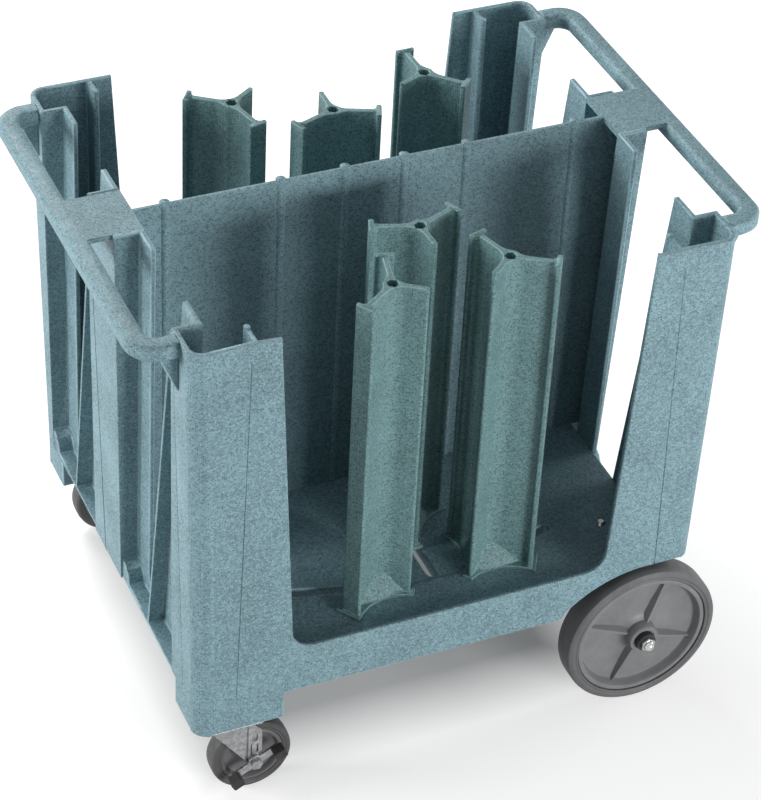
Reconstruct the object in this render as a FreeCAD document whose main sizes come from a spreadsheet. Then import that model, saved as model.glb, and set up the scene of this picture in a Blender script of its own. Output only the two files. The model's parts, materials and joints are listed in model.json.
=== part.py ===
"""Plate dispenser cart: an open moulded body with a lengthwise divider and six movable towers,
carried by two large wheels on a through axle and two swivel casters, one of them braked.

Frame: X runs along the cart towards the large wheels, Y across it, Z up. The origin is on the
floor under the middle of the cart. Sizes are in millimetres.
"""
import FreeCAD
import Part
import Sketcher
import math
import os

DOC = FreeCAD.newDocument("plate_dispenser_cart")
V = FreeCAD.Vector

SIZES = {
    # moulded body
    "rim_height": 850, "body_length": 826, "body_width": 706, "end_draft": 10, "wall": 8,
    "corner_radius": 24, "corner_return": 30, "skirt_height": 197, "foot_height": 148,
    "deck_top": 268, "deck_thickness": 6, "kerb_height": 10, "edge_round": 2.5,
    "side_opening_top": 564, "side_opening_base": 504, "side_opening_radius": 34,
    "arch_start": 185, "arch_middle": 328,
    "recess_depth": 35,
    "foot_length": 138, "foot_width": 89, "panel_rib_place": 318, "panel_rib_depth": 32,
    "panel_rib_thickness": 6, "groove_width": 2.5, "groove_depth": 1.2, "seat_gap": 0.2,
    # the two bays of an end, each with one window; y of the front bay's lines at rim and skirt
    "bay_pitch": 340, "post_edge_top": -57, "post_edge_base": -30, "near_edge_top": -101,
    "near_edge_base": -78, "far_edge_top": -228, "far_edge_base": -141, "leg_edge_top": -278,
    "leg_edge_base": -250, "leg_groove_top": -283, "leg_groove_base": -299,
    "sill_joint": -112, "window_sill": 212, "window_radius": 24, "end_wall_half": 200,
    "lip_thickness": 5, "lip_set_back": 0.6, "lip_top": 800, "lip_top_depth": 16,
    "ledge_thickness": 7, "trough_radius": 30, "post_proud": 3,
    # divider
    "divider_thickness": 8, "bead_radius": 7.5, "bead_rise": 3, "bead_inner": 46.5,
    "bead_middle": 146, "bead_outer": 322,
    # handles
    "handle_reach": 66, "handle_width": 30, "handle_height": 27, "handle_span": 636,
    "handle_corner": 44, "handle_inner_corner": 16, "handle_chamfer": 6, "handle_plate": 8,
    "gusset_height": 62, "gusset_reach": 30, "gusset_thickness": 8,
    # towers and their slots
    "tower_height": 562, "tower_reach": 73, "tower_arm_angle": 111, "tower_wall": 8,
    "tower_stem": 52, "tower_hub_radius": 14, "tower_hex": 16, "tower_head_length": 30,
    "tower_head_thickness": 8, "tower_head_fillet": 5, "tower_head_corner": 3,
    "tower_front_fillet": 20, "tower_back_fillet": 26,
    "tower_foot_height": 6, "tower_foot_flange": 6, "tower_foot_bend": 75,
    "tower_back_bend": 120,
    "tower_foot_reach": 32, "tower_wedge_height": 36,
    "slot_width": 16, "slot_frame": 4, "slot_frame_depth": 18, "slot_angle": 15.5,
    "corner_slot_x": 140,
    "corner_slot_y": 244, "corner_slot_length": 172, "middle_slot_x": 10,
    "middle_slot_y": 172, "middle_slot_length": 190,
    "clamp_bolt_radius": 4, "clamp_head_across": 13, "clamp_head_height": 5.5,
    "clamp_plate_length": 44, "clamp_plate_width": 30, "clamp_plate_thickness": 4,
    "clamp_neck": 10, "clamp_tail": 8, "clamp_nut_height": 6.5,
    # large wheels and axle
    "wheel_radius": 127, "wheel_width": 44, "tyre_depth": 25, "wheel_place_x": 328,
    "wheel_face_y": 366, "tyre_chamfer": 3, "rim_depth": 12, "disc_thickness": 7, "wheel_boss_radius": 21,
    "wheel_boss_length": 56, "axle_radius": 8, "running_gap": 0.05,
    "axle_length": 764, "spoke_width": 16, "spoke_height": 9, "spoke_turn": -22, "axle_washer_radius": 15,
    "axle_washer_thickness": 2, "cap_nut_width": 24, "cap_nut_height": 12, "fit_gap": 0.3,
    "sleeve_radius": 13, "bracket_place_y": 262, "bracket_thickness": 5, "bracket_width": 76,
    "bracket_eye": 21, "bracket_flange": 36, "bracket_bolt_pitch": 50, "bracket_bolt_y": 243,
    "small_bolt_radius": 4, "small_bolt_head_radius": 8, "small_bolt_head_height": 4,
    # casters
    "caster_place_x": 340, "caster_place_y": 318, "caster_trail": 34, "caster_radius": 63.5,
    "caster_width": 32, "caster_tyre_depth": 14, "tread_chamfer": 2, "caster_plate_length": 95,
    "caster_plate_width": 68, "caster_plate_thickness": 3, "race_radius": 26,
    "race_height": 4, "crown_thickness": 3.5, "crown_width": 47,
    "kingpin_radius": 5, "kingpin_head_radius": 9, "kingpin_head_height": 4,
    "fork_inside": 41, "fork_thickness": 3, "fork_tip_radius": 13, "fork_back": 27,
    "fork_front": 31,
    "caster_axle_radius": 5, "caster_boss_radius": 13, "caster_rim_depth": 6,
    "plate_hole_x": 36, "plate_hole_y": 18, "stud_radius": 4, "stud_nut_across": 13,
    "stud_nut_height": 6.5,
    # brake of the front caster
    "strap_width": 22, "strap_thickness": 3, "pedal_arm": 39, "pedal_tilt": 29,
    "pedal_thickness": 4, "pedal_height": 13, "pedal_boss_radius": 12, "pad_length": 19,
    "pad_height": 15, "pad_depth": 17,
}
TOWERS = {
    # name: slot, distance along its slot from the slot's middle, turn of the short arm
    "tower_front_left": ("front_left", -60, -34),
    "tower_front_middle": ("front_middle", -28, -88),
    "tower_front_right": ("front_right", -42, -142),
    "tower_rear_left": ("rear_left", -14, 34),
    "tower_rear_middle": ("rear_middle", 8, 89),
    "tower_rear_right": ("rear_right", 44, -157),
}
SHEET = DOC.addObject("Spreadsheet::Sheet", "Sizes")
NODES = {}


class Size:
    """A length or angle: its number, and the spreadsheet expression that gives it."""

    def __init__(self, value, text):
        self.value = float(value)
        self.text = text

    def join(self, other, sign, value):
        other = as_size(other)
        return Size(value, "(%s %s %s)" % (self.text, sign, other.text))

    def __add__(self, other):
        return self.join(other, "+", self.value + as_size(other).value)

    def __radd__(self, other):
        return as_size(other) + self

    def __sub__(self, other):
        return self.join(other, "-", self.value - as_size(other).value)

    def __rsub__(self, other):
        return as_size(other) - self

    def __mul__(self, other):
        return self.join(other, "*", self.value * as_size(other).value)

    def __rmul__(self, other):
        return as_size(other) * self

    def __truediv__(self, other):
        return self.join(other, "/", self.value / as_size(other).value)

    def __neg__(self):
        return as_size(0) - self


def as_size(number):
    return number if isinstance(number, Size) else Size(number, "%.9g" % number)


def cosine(angle):
    angle = as_size(angle)
    return Size(math.cos(math.radians(angle.value)), "cos(%s * 1 deg)" % angle.text)


def sine(angle):
    angle = as_size(angle)
    return Size(math.sin(math.radians(angle.value)), "sin(%s * 1 deg)" % angle.text)


def root(number):
    return Size(math.sqrt(number.value), "sqrt(%s)" % number.text)


def fill_sheet():
    for row, (name, value) in enumerate(SIZES.items(), start=1):
        SHEET.set("A%d" % row, name)
        SHEET.set("B%d" % row, "%g" % value)
        SHEET.setAlias("B%d" % row, name)
    DOC.recompute()
    return {name: Size(SHEET.get(name), "Sizes." + name) for name in SIZES}


S = fill_sheet()


def bind(item, prop, size):
    size = as_size(size)
    if "." not in prop:
        setattr(item, prop, size.value)
    if "Sizes." in size.text:
        item.setExpression(prop, size.text)


# ---------------------------------------------------------------- sketches and features

def body(name):
    new = DOC.addObject("PartDesign::Body", name)
    new.Label = name
    NODES[name] = new
    return new


def origin_plane(owner, role):
    return [item for item in owner.Origin.OriginFeatures if item.Role == role][0]


def place(item, x=0, y=0, z=0, axis=None, angle=0):
    x, y, z, angle = as_size(x), as_size(y), as_size(z), as_size(angle)
    turn = FreeCAD.Rotation(axis or V(0, 0, 1), angle.value)
    item.Placement = FreeCAD.Placement(V(x.value, y.value, z.value), turn)
    for letter, size in zip("xyz", (x, y, z)):
        bind(item, "Placement.Base." + letter, size)


def arc_middle(start, end, radius):
    """Middle of the short arc from start to end; its centre is on the left for radius > 0."""
    chord = end - start
    left = V(-chord.y, chord.x, 0).normalize()
    side = 1 if radius > 0 else -1
    rise = math.sqrt(max(radius ** 2 - (chord.Length / 2) ** 2, 0))
    return (start + end) / 2 + left * side * (rise - abs(radius))


def add_outline(sketch, corners):
    """Closed outline: each corner is (x, y) or (x, y, radius of the arc to the next corner)."""
    count = len(corners)
    first = sketch.GeometryCount
    points = [V(as_size(c[0]).value, as_size(c[1]).value, 0) for c in corners]
    shapes, starts, rules = [], [], []
    for index, corner in enumerate(corners):
        start, end = points[index], points[(index + 1) % count]
        if len(corner) == 3:
            middle = arc_middle(start, end, as_size(corner[2]).value)
            shapes.append(Part.Arc(start, middle, end))
            starts.append((1, 2) if as_size(corner[2]).value > 0 else (2, 1))
        else:
            shapes.append(Part.LineSegment(start, end))
            starts.append((1, 2))
    for index, corner in enumerate(corners):
        following = (index + 1) % count
        edge, ends = first + index, starts[index]
        rules.append(("Coincident", (edge, ends[1], first + following, starts[following][0]), None))
        rules.append(("DistanceX", (-1, 1, edge, ends[0]), corner[0]))
        rules.append(("DistanceY", (-1, 1, edge, ends[0]), corner[1]))
        if len(corner) == 3:
            size = as_size(corner[2])
            rules.append(("Radius", (edge,), size if size.value > 0 else -size))
    sketch.addGeometry(shapes, False)
    add_rules(sketch, rules)


def add_rules(sketch, rules):
    """Add all constraints at once, then tie their sizes to the spreadsheet."""
    first = sketch.ConstraintCount
    made = []
    for kind, where, size in rules:
        values = where if size is None else where + (as_size(size).value,)
        made.append(Sketcher.Constraint(kind, *values))
    sketch.addConstraint(made)
    for number, (kind, where, size) in enumerate(rules, start=first):
        if size is not None and "Sizes." in as_size(size).text:
            sketch.setExpression("Constraints[%d]" % number, as_size(size).text)


def add_circle(sketch, x, y, radius):
    middle = V(as_size(x).value, as_size(y).value, 0)
    edge = sketch.addGeometry(Part.Circle(middle, V(0, 0, 1), as_size(radius).value), False)
    add_rules(sketch, [("DistanceX", (-1, 1, edge, 3), x), ("DistanceY", (-1, 1, edge, 3), y),
                       ("Radius", (edge,), radius)])


def draw(owner, plane, offset, outlines=(), circles=()):
    sketch = owner.newObject("Sketcher::SketchObject", owner.Name + "_sketch")
    sketch.AttachmentSupport = [(origin_plane(owner, plane), "")]
    sketch.MapMode = "FlatFace"
    offset = as_size(offset)
    sketch.AttachmentOffset = FreeCAD.Placement(V(0, 0, offset.value), FreeCAD.Rotation())
    bind(sketch, "AttachmentOffset.Base.z", offset)
    for corners in outlines:
        add_outline(sketch, corners)
    for circle in circles:
        add_circle(sketch, *circle)
    return sketch


def extrude(owner, kind, plane, low, high, outlines=(), circles=()):
    """Pad or Pocket between two levels along the plane's axis (Z, Y or X)."""
    flipped = plane == "XZ_Plane"
    start = -as_size(high) if flipped else as_size(low)
    sketch = draw(owner, plane, start, outlines, circles)
    feature = owner.newObject("PartDesign::" + kind, owner.Name + "_" + kind.lower())
    feature.Profile = sketch
    bind(feature, "Length", as_size(high) - as_size(low))
    feature.Reversed = kind == "Pocket"
    return feature


def pad(owner, plane, low, high, outlines=(), circles=()):
    return extrude(owner, "Pad", plane, low, high, outlines, circles)


def pocket(owner, plane, low, high, outlines=(), circles=()):
    return extrude(owner, "Pocket", plane, low, high, outlines, circles)


def loft(owner, low, low_outline, high, high_outline, kind="Additive"):
    first = draw(owner, "XY_Plane", low, [low_outline])
    second = draw(owner, "XY_Plane", high, [high_outline])
    feature = owner.newObject("PartDesign::%sLoft" % kind, owner.Name + "_loft")
    feature.Profile = first
    feature.Sections = [second]
    feature.Ruled = True
    return feature


def revolve(owner, outline, kind="Revolution"):
    """Turn an outline, drawn as (distance from the axis, level), round the body's Z axis."""
    sketch = draw(owner, "XZ_Plane", 0, [outline])
    feature = owner.newObject("PartDesign::" + kind, owner.Name + "_turned")
    feature.Profile = sketch
    feature.ReferenceAxis = (sketch, ["V_Axis"])
    feature.Angle = 360
    return feature


def polar(owner, features, count):
    pattern = owner.newObject("PartDesign::PolarPattern", owner.Name + "_pattern")
    pattern.Originals = features
    pattern.Axis = ([a for a in owner.Origin.OriginFeatures if a.Role == "Z_Axis"][0], [""])
    pattern.Angle = 360
    pattern.Occurrences = count
    owner.Tip = pattern
    return pattern


def soften(owner, kind, size_name, size, wanted):
    """Fillet or Chamfer the edges of the body's last shape for which wanted(edge) is true."""
    owner.Tip.recompute(True)
    base = owner.Tip
    names = ["Edge%d" % (n + 1) for n, edge in enumerate(base.Shape.Edges) if wanted(edge)]
    feature = owner.newObject("PartDesign::" + kind, owner.Name + "_" + kind.lower())
    feature.Base = (base, names)
    bind(feature, size_name, size)
    return feature


def fillet(owner, radius, wanted):
    return soften(owner, "Fillet", "Radius", radius, wanted)


def chamfer(owner, size, wanted):
    return soften(owner, "Chamfer", "Size", size, wanted)


def box(x_low, x_high, y_low, y_high):
    return [(x_low, y_low), (x_high, y_low), (x_high, y_high), (x_low, y_high)]


def mirrored(corners, sign_x, sign_y):
    """The outline for another corner of the cart, kept counter-clockwise."""
    flip = sign_x * sign_y < 0
    turned = [(sign_x * as_size(c[0]), sign_y * as_size(c[1])) + tuple(c[2:]) for c in corners]
    if not flip:
        return turned
    radii = [c[2] if len(c) == 3 else None for c in turned]
    count = len(turned)
    out = []
    for index in range(count):
        here = count - 1 - index
        radius = radii[(here - 1) % count]
        out.append(turned[here][:2] + ((radius,) if radius is not None else ()))
    return out


def level(edge, height, tolerance=0.01):
    """True for an edge that lies flat at this height."""
    box_ = edge.BoundBox
    return abs(box_.ZMin - height) < tolerance and abs(box_.ZMax - height) < tolerance


def upright(edge, x, y, tolerance=0.6):
    """True for a vertical edge through this point of the plan."""
    box_ = edge.BoundBox
    thin = box_.XLength < tolerance and box_.YLength < tolerance
    return thin and abs(box_.Center.x - x) < tolerance and abs(box_.Center.y - y) < tolerance


# ---------------------------------------------------------------- shared levels of the body

HALF_LENGTH = S["body_length"] / 2
HALF_WIDTH = S["body_width"] / 2
DECK_UNDER = S["deck_top"] - S["deck_thickness"]
KERB_TOP = S["deck_top"] + S["kerb_height"]
RECESS = HALF_LENGTH - S["recess_depth"]
PLATE_UNDER = S["rim_height"] - S["handle_plate"]
INNER_SIDE = HALF_WIDTH - S["wall"]


def slide_down(top_value, base_value, height):
    """A size that runs straight from the rim down to the skirt, at this height."""
    share = (S["rim_height"] - height) / (S["rim_height"] - S["skirt_height"])
    return top_value - (top_value - base_value) * share


def end_face(height):
    return slide_down(HALF_LENGTH, HALF_LENGTH - S["end_draft"], height)


def bay_line(name, height, sign_y):
    """Y of one of a bay's slanting lines at this height; the rear bay repeats the front one."""
    place_y = slide_down(S[name + "_top"], S[name + "_base"], height)
    return place_y if sign_y < 0 else place_y + S["bay_pitch"]


def post_face(height):
    return end_face(height) + S["post_proud"]


def side_end(height):
    return end_face(height) - S["corner_return"]


# ---------------------------------------------------------------- moulded body sections

def post_section(height, leg):
    """Plan of a corner post: round the corner, along the end, then in to the recess."""
    outer, edge, wall = end_face(height), leg, S["wall"]
    inner, radius = outer - wall, S["corner_radius"]
    small = radius - wall
    return [
        (outer - S["corner_return"], INNER_SIDE), (outer - radius, INNER_SIDE, -small),
        (inner, HALF_WIDTH - radius), (inner, edge + wall), (RECESS - wall, edge + wall),
        (RECESS - wall, edge), (outer, edge), (outer, HALF_WIDTH - radius, radius),
        (outer - radius, HALF_WIDTH), (outer - S["corner_return"], HALF_WIDTH),
    ]


def leg_distance(height, sign_y):
    """Distance of a corner post's inner side from the middle of the end."""
    return -bay_line("leg_edge", height, -1) if sign_y < 0 else bay_line("post_edge", height, 1)


def window_flange(start, edge, sign_y, toward):
    """Half of the frame round a window, from its joint in the sill up to the rim."""
    low, top, sill = S["skirt_height"], S["rim_height"], S["window_sill"]
    bend = sill + S["window_radius"]
    joint = S["sill_joint"] if sign_y < 0 else S["sill_joint"] + S["bay_pitch"]
    turn = bay_line(edge, bend, sign_y)
    arc = (S["window_radius"],) if toward > 0 else (-S["window_radius"],)
    points = [
        (bay_line(start, top, sign_y) - toward * S["wall"] / 2, top),
        (bay_line(start, low, sign_y) - toward * S["wall"] / 2, low), (joint, low),
        (joint, sill), (turn + toward * S["window_radius"], sill), (turn, bend),
        (bay_line(edge, top, sign_y), top),
    ]
    if toward > 0:
        points[4] = points[4] + (-S["window_radius"],)
        return points
    points[4] = points[4] + (-S["window_radius"],)
    return points


def counter_clockwise(corners):
    """The same outline with its corners in counter-clockwise order, arcs kept."""
    points = [(as_size(c[0]).value, as_size(c[1]).value) for c in corners]
    area = sum(a[0] * b[1] - b[0] * a[1] for a, b in zip(points, points[1:] + points[:1]))
    if area > 0:
        return corners
    radii = [c[2:] for c in corners]
    order = list(range(len(corners)))[::-1]
    return [corners[n][:2] + tuple(radii[n - 1]) for n in order]


def ledge_box(start, sign_y, toward):
    """Bottom of the trough in front of a window, from a bay line to the joint in the sill."""
    low = S["skirt_height"]
    joint = S["sill_joint"] if sign_y < 0 else S["sill_joint"] + S["bay_pitch"]
    begin = bay_line(start, low, sign_y) - toward * S["wall"] / 2
    return counter_clockwise([(RECESS - 1, begin), (end_face(low), begin),
                              (end_face(low), joint), (RECESS - 1, joint)])


def add_window_side(owner, sign_x, sign_y, start, edge, toward):
    """The part of a window's frame and trough that belongs to one post."""
    low, high = S["skirt_height"], S["skirt_height"] + S["ledge_thickness"]
    x_low, x_high = ordered(sign_x, RECESS - S["wall"], RECESS)
    flange = counter_clockwise(window_flange(start, edge, sign_y, toward))
    pad(owner, "YZ_Plane", x_low, x_high, [flange])
    pad(owner, "XY_Plane", low, high, [mirrored(ledge_box(start, sign_y, toward), sign_x, 1)])


def add_lip(owner, sign_x, sign_y):
    """Fin that stands out from the far edge of a window and gets deeper towards its foot."""
    low, high = S["skirt_height"], S["lip_top"]

    def section(height, depth):
        edge = bay_line("far_edge", height, sign_y) - S["lip_set_back"]
        return mirrored(box(RECESS - 1, RECESS + depth, edge - S["lip_thickness"], edge),
                        sign_x, 1)

    deep = end_face(low) - RECESS
    loft(owner, low, section(low, deep), high, section(high, S["lip_top_depth"]))


def add_trough_curve(owner, sign_x, sign_y):
    """Rounded corner where a post's side runs into the bottom of the trough."""
    low, radius = S["skirt_height"] + S["ledge_thickness"], S["trough_radius"]
    side = bay_line("post_edge", low, sign_y) + 2
    curve = counter_clockwise([
        (side, low - 1), (side - radius, low - 1), (side - radius, low, radius),
        (side, low + radius),
    ])
    x_low, x_high = ordered(sign_x, RECESS - 1, end_face(S["skirt_height"]))
    pad(owner, "YZ_Plane", x_low, x_high, [curve])


def corner_post(name, sign_x, sign_y):
    owner = body(name)
    low = S["skirt_height"] if sign_x < 0 else DECK_UNDER
    top = S["rim_height"]
    loft(owner, low, mirrored(post_section(low, leg_distance(low, sign_y)), sign_x, sign_y),
         top, mirrored(post_section(top, leg_distance(top, sign_y)), sign_x, sign_y))
    if sign_y < 0:
        add_window_side(owner, sign_x, sign_y, "leg_edge", "far_edge", 1)
        add_lip(owner, sign_x, sign_y)
    else:
        add_window_side(owner, sign_x, sign_y, "post_edge", "near_edge", -1)
        add_trough_curve(owner, sign_x, sign_y)
    fillet(owner, S["edge_round"], lambda e: level(e, S["rim_height"].value)
           and not touches_side_wall(e, sign_x))
    if sign_y < 0:
        add_leg_groove(owner, sign_x, low + 12, top - 26)
    return owner


def add_leg_groove(owner, sign_x, low, high):
    """Narrow groove down the leg's end face, following its draft and its slant."""
    half, depth = S["groove_width"] / 2, S["groove_depth"]

    def section(height):
        place_y = bay_line("leg_groove", height, -1)
        face = end_face(height)
        return mirrored(box(face - depth, face + 1, place_y - half, place_y + half), sign_x, 1)

    loft(owner, low, section(low), high, section(high), "Subtractive")


def touches_side_wall(edge, sign_x):
    """True for the rim edge where the corner post meets the flat side wall."""
    middle = edge.BoundBox.Center
    end = side_end(S["rim_height"]).value
    return abs(abs(middle.x) - end) < 0.01 and edge.BoundBox.XLength < 0.01


def slanted_groove(top_place, base_place, top, low):
    half = S["groove_width"] / 2
    return [(base_place - half, low), (base_place + half, low),
            (top_place + half, top), (top_place - half, top)]


def ordered(sign, near, far):
    """The two levels, counted from the middle of the cart, as low and high."""
    return (near, far) if sign > 0 else (-as_size(far), -as_size(near))


def hat_section(height):
    """Plan of the centre post: a grooved face, a plain side and a side like a corner leg's."""
    face, wall, inner = post_face(height), S["wall"], RECESS - S["wall"]
    plain, far = bay_line("post_edge", height, -1), bay_line("leg_edge", height, 1)
    slit, depth = bay_line("leg_groove", height, 1), S["groove_depth"]
    half = S["groove_width"] / 2
    return [
        (face, plain), (face, slit - half), (face - depth, slit - half),
        (face - depth, slit + half), (face, slit + half), (face, far), (inner, far),
        (inner, far - wall), (face - wall, far - wall), (face - wall, plain + wall),
        (inner, plain + wall), (inner, plain),
    ]


def centre_post(name, sign_x):
    owner = body(name)
    low, top, wall = S["skirt_height"], S["rim_height"], S["wall"]
    loft(owner, low, mirrored(hat_section(low), sign_x, 1),
         top, mirrored(hat_section(top), sign_x, 1))
    add_window_side(owner, sign_x, -1, "post_edge", "near_edge", -1)
    add_trough_curve(owner, sign_x, -1)
    add_window_side(owner, sign_x, 1, "leg_edge", "far_edge", 1)
    add_lip(owner, sign_x, 1)
    y_low, y_high = plate_sides()
    notch = box(HALF_LENGTH - wall - 2, HALF_LENGTH + 10, y_low, y_high)
    pocket_down(owner, PLATE_UNDER, top + 1, mirrored(notch, sign_x, 1))
    return owner


def plate_sides():
    """The handle's flat plate runs between the two sides of the centre post."""
    low = bay_line("post_edge", S["rim_height"], -1) + S["wall"]
    return low, bay_line("leg_edge", S["rim_height"], 1) - S["wall"]


def side_wall(name, sign_y):
    """One long side: two panels and the rail between them, arched over the large wheel."""
    owner = body(name)
    top, low = S["rim_height"], S["skirt_height"]
    open_top, open_base = S["side_opening_top"] / 2, S["side_opening_base"] / 2
    arch_rise = DECK_UNDER - low
    arch_run = S["arch_middle"] - S["arch_start"]
    arch_radius = (arch_rise * arch_rise + arch_run * arch_run) / (2 * arch_rise)
    outline = [
        (-side_end(low), low), (S["arch_start"], low, -arch_radius),
        (S["arch_middle"], DECK_UNDER), (side_end(DECK_UNDER), DECK_UNDER),
        (side_end(top), top), (open_top, top), (open_base, KERB_TOP),
        (-open_base, KERB_TOP), (-open_top, top), (-side_end(top), top),
    ]
    y_low, y_high = ordered(sign_y, INNER_SIDE, HALF_WIDTH)
    pad(owner, "XZ_Plane", y_low, y_high, [outline])
    thickness, place_x = S["panel_rib_thickness"], S["panel_rib_place"]
    rib_edge = INNER_SIDE - S["panel_rib_depth"]
    for sign_x in (-1, 1):
        rib = box(place_x - thickness / 2, place_x + thickness / 2, rib_edge, INNER_SIDE + 1)
        bead = (sign_x * place_x, sign_y * rib_edge, thickness * 0.8)
        pad(owner, "XY_Plane", S["deck_top"], top, [mirrored(rib, sign_x, sign_y)])
        pad(owner, "XY_Plane", S["deck_top"], top + 2, [], [bead])
        groove = slanted_groove(place_x + 8, place_x + 23, top - 30, low + 14)
        cut_low, cut_high = ordered(sign_y, HALF_WIDTH - S["groove_depth"], HALF_WIDTH + 1)
        pocket_between(owner, cut_low, cut_high, mirrored(groove, sign_x, 1))
    fillet(owner, S["side_opening_radius"], lambda e: opening_corner(e, open_base.value))
    fillet(owner, S["edge_round"], lambda e: opening_rim(e))
    return owner


def pocket_between(owner, low, high, outline):
    """Cut a slab of this outline between two Y levels."""
    sketch = draw(owner, "XZ_Plane", -as_size(high), [outline])
    feature = owner.newObject("PartDesign::Pocket", owner.Name + "_pocket")
    feature.Profile = sketch
    bind(feature, "Length", as_size(high) - as_size(low))
    feature.Reversed = True
    return feature


def opening_corner(edge, half_opening):
    box_ = edge.BoundBox
    across = box_.XLength < 0.01 and box_.ZLength < 0.01
    return across and abs(abs(box_.Center.x) - half_opening) < 0.01 \
        and abs(box_.Center.z - KERB_TOP.value) < 0.01


def opening_rim(edge):
    """True for the edges along the top of a side wall and round its opening."""
    box_ = edge.BoundBox
    faces = (HALF_WIDTH.value, INNER_SIDE.value)
    on_face = box_.YLength < 0.01 and min(abs(abs(box_.Center.y) - f) for f in faces) < 0.01
    reach = S["side_opening_top"].value / 2
    inside = abs(box_.Center.x) <= reach and box_.ZMin >= KERB_TOP.value - 0.01
    outer_top = level(edge, S["rim_height"].value) and abs(abs(box_.Center.y) - faces[0]) < 0.01
    along_opening = abs(box_.XMax) <= reach + 0.01 and abs(box_.XMin) <= reach + 0.01
    return on_face and ((inside and along_opening) or outer_top)


def slot_outline(slot, wider):
    """A slot with round ends, wider all round by this much, drawn counter-clockwise."""
    x, y, angle, length = slot
    half, radius = length / 2 - S["slot_width"] / 2, S["slot_width"] / 2 + wider
    ahead = (cosine(angle), sine(angle))
    aside = (-sine(angle), cosine(angle))

    def corner(along, across):
        return (x + ahead[0] * along + aside[0] * across,
                y + ahead[1] * along + aside[1] * across)

    return [corner(-half, -radius), corner(half, -radius) + (radius * 1.0001,),
            corner(half, radius), corner(-half, radius) + (radius * 1.0001,)]


def slots():
    """Each slot: middle x, middle y, direction outwards from the cart's middle, length."""
    corner = (S["corner_slot_x"], S["corner_slot_y"], S["slot_angle"], S["corner_slot_length"])
    middle = (S["middle_slot_x"], S["middle_slot_y"], S["middle_slot_length"])
    out = {}
    for end, sign_x in (("left", -1), ("right", 1)):
        for side, sign_y in (("front", -1), ("rear", 1)):
            tilt = -corner[2] if sign_x * sign_y > 0 else corner[2]
            angle = tilt if sign_x > 0 else 180 + tilt
            out[side + "_" + end] = (sign_x * corner[0], sign_y * corner[1], angle, corner[3])
    out["front_middle"] = (middle[0], -middle[1], as_size(-90), middle[2])
    out["rear_middle"] = (middle[0], middle[1], as_size(90), middle[2])
    return out


def floor_deck(name):
    owner = body(name)
    gap = S["seat_gap"]
    inner_x, inner_y = RECESS - S["wall"] - gap, INNER_SIDE - gap
    ear_x = end_face(DECK_UNDER) - S["wall"] - gap
    corner_cut = S["corner_radius"] - S["wall"]
    outline = []
    for sign_x, sign_y in ((1, 1), (-1, 1), (-1, -1), (1, -1)):
        ear_y = leg_distance(S["deck_top"], sign_y) + S["wall"] + gap
        quarter = [(inner_x, ear_y), (ear_x, ear_y), (ear_x, inner_y - corner_cut),
                   (ear_x - corner_cut, inner_y)]
        points = [(sign_x * x, sign_y * y) for x, y in quarter]
        outline += points if sign_x * sign_y > 0 else points[::-1]
    pad(owner, "XY_Plane", DECK_UNDER, S["deck_top"], [outline])
    rib = S["panel_rib_thickness"] / 2
    under = DECK_UNDER - 24
    pad(owner, "XY_Plane", under, DECK_UNDER + 1, [box(-inner_x, inner_x, -rib, rib)])
    for place_x in (-240, 240):
        pad(owner, "XY_Plane", under, DECK_UNDER + 1,
            [box(place_x - rib, place_x + rib, -250, 250)])
    for sign_x in (-1, 1):
        end = box(inner_x - S["deck_thickness"], inner_x, -S["end_wall_half"], S["end_wall_half"])
        pad(owner, "XY_Plane", S["skirt_height"] + S["ledge_thickness"] + 2, DECK_UNDER + 1,
            [mirrored(end, sign_x, 1)])
    frame_under = DECK_UNDER - S["slot_frame_depth"]
    for slot in slots().values():
        pad(owner, "XY_Plane", frame_under, DECK_UNDER + 1,
            [slot_outline(slot, S["slot_frame"])])
        pocket_down(owner, frame_under - 1, S["deck_top"] + 1, slot_outline(slot, 0))
    for sign_y in (-1, 1):
        for x in bracket_bolt_places():
            hole(owner, x, sign_y * S["bracket_bolt_y"], DECK_UNDER - 1, S["deck_top"] + 1,
                 S["small_bolt_radius"] + S["fit_gap"])
    return owner


def pocket_down(owner, low, high, outline):
    """Cut a slab of this outline between two heights."""
    sketch = draw(owner, "XY_Plane", high, [outline])
    feature = owner.newObject("PartDesign::Pocket", owner.Name + "_pocket")
    feature.Profile = sketch
    bind(feature, "Length", as_size(high) - as_size(low))
    return feature


def divider_wall(name):
    owner = body(name)
    half, back = S["divider_thickness"] / 2, S["wall"] + S["seat_gap"]
    inner, top, low = RECESS - S["wall"], S["rim_height"], S["deck_top"]
    foot, head = post_face(low) - back, post_face(PLATE_UNDER) - back
    outline = [(-foot, low), (foot, low), (head, PLATE_UNDER), (inner, PLATE_UNDER),
               (inner, top), (-inner, top), (-inner, PLATE_UNDER), (-head, PLATE_UNDER)]
    pad(owner, "XZ_Plane", -half, half, [outline])
    fillet(owner, S["edge_round"], lambda e: level(e, top.value) and e.BoundBox.XLength > 1)
    beads = [(sign * S[place_x], 0, S["bead_radius"])
             for place_x in ("bead_inner", "bead_middle", "bead_outer") for sign in (-1, 1)]
    for bead in beads:
        pad(owner, "XY_Plane", S["deck_top"], top + S["bead_rise"], [], [bead])
    return owner


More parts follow.
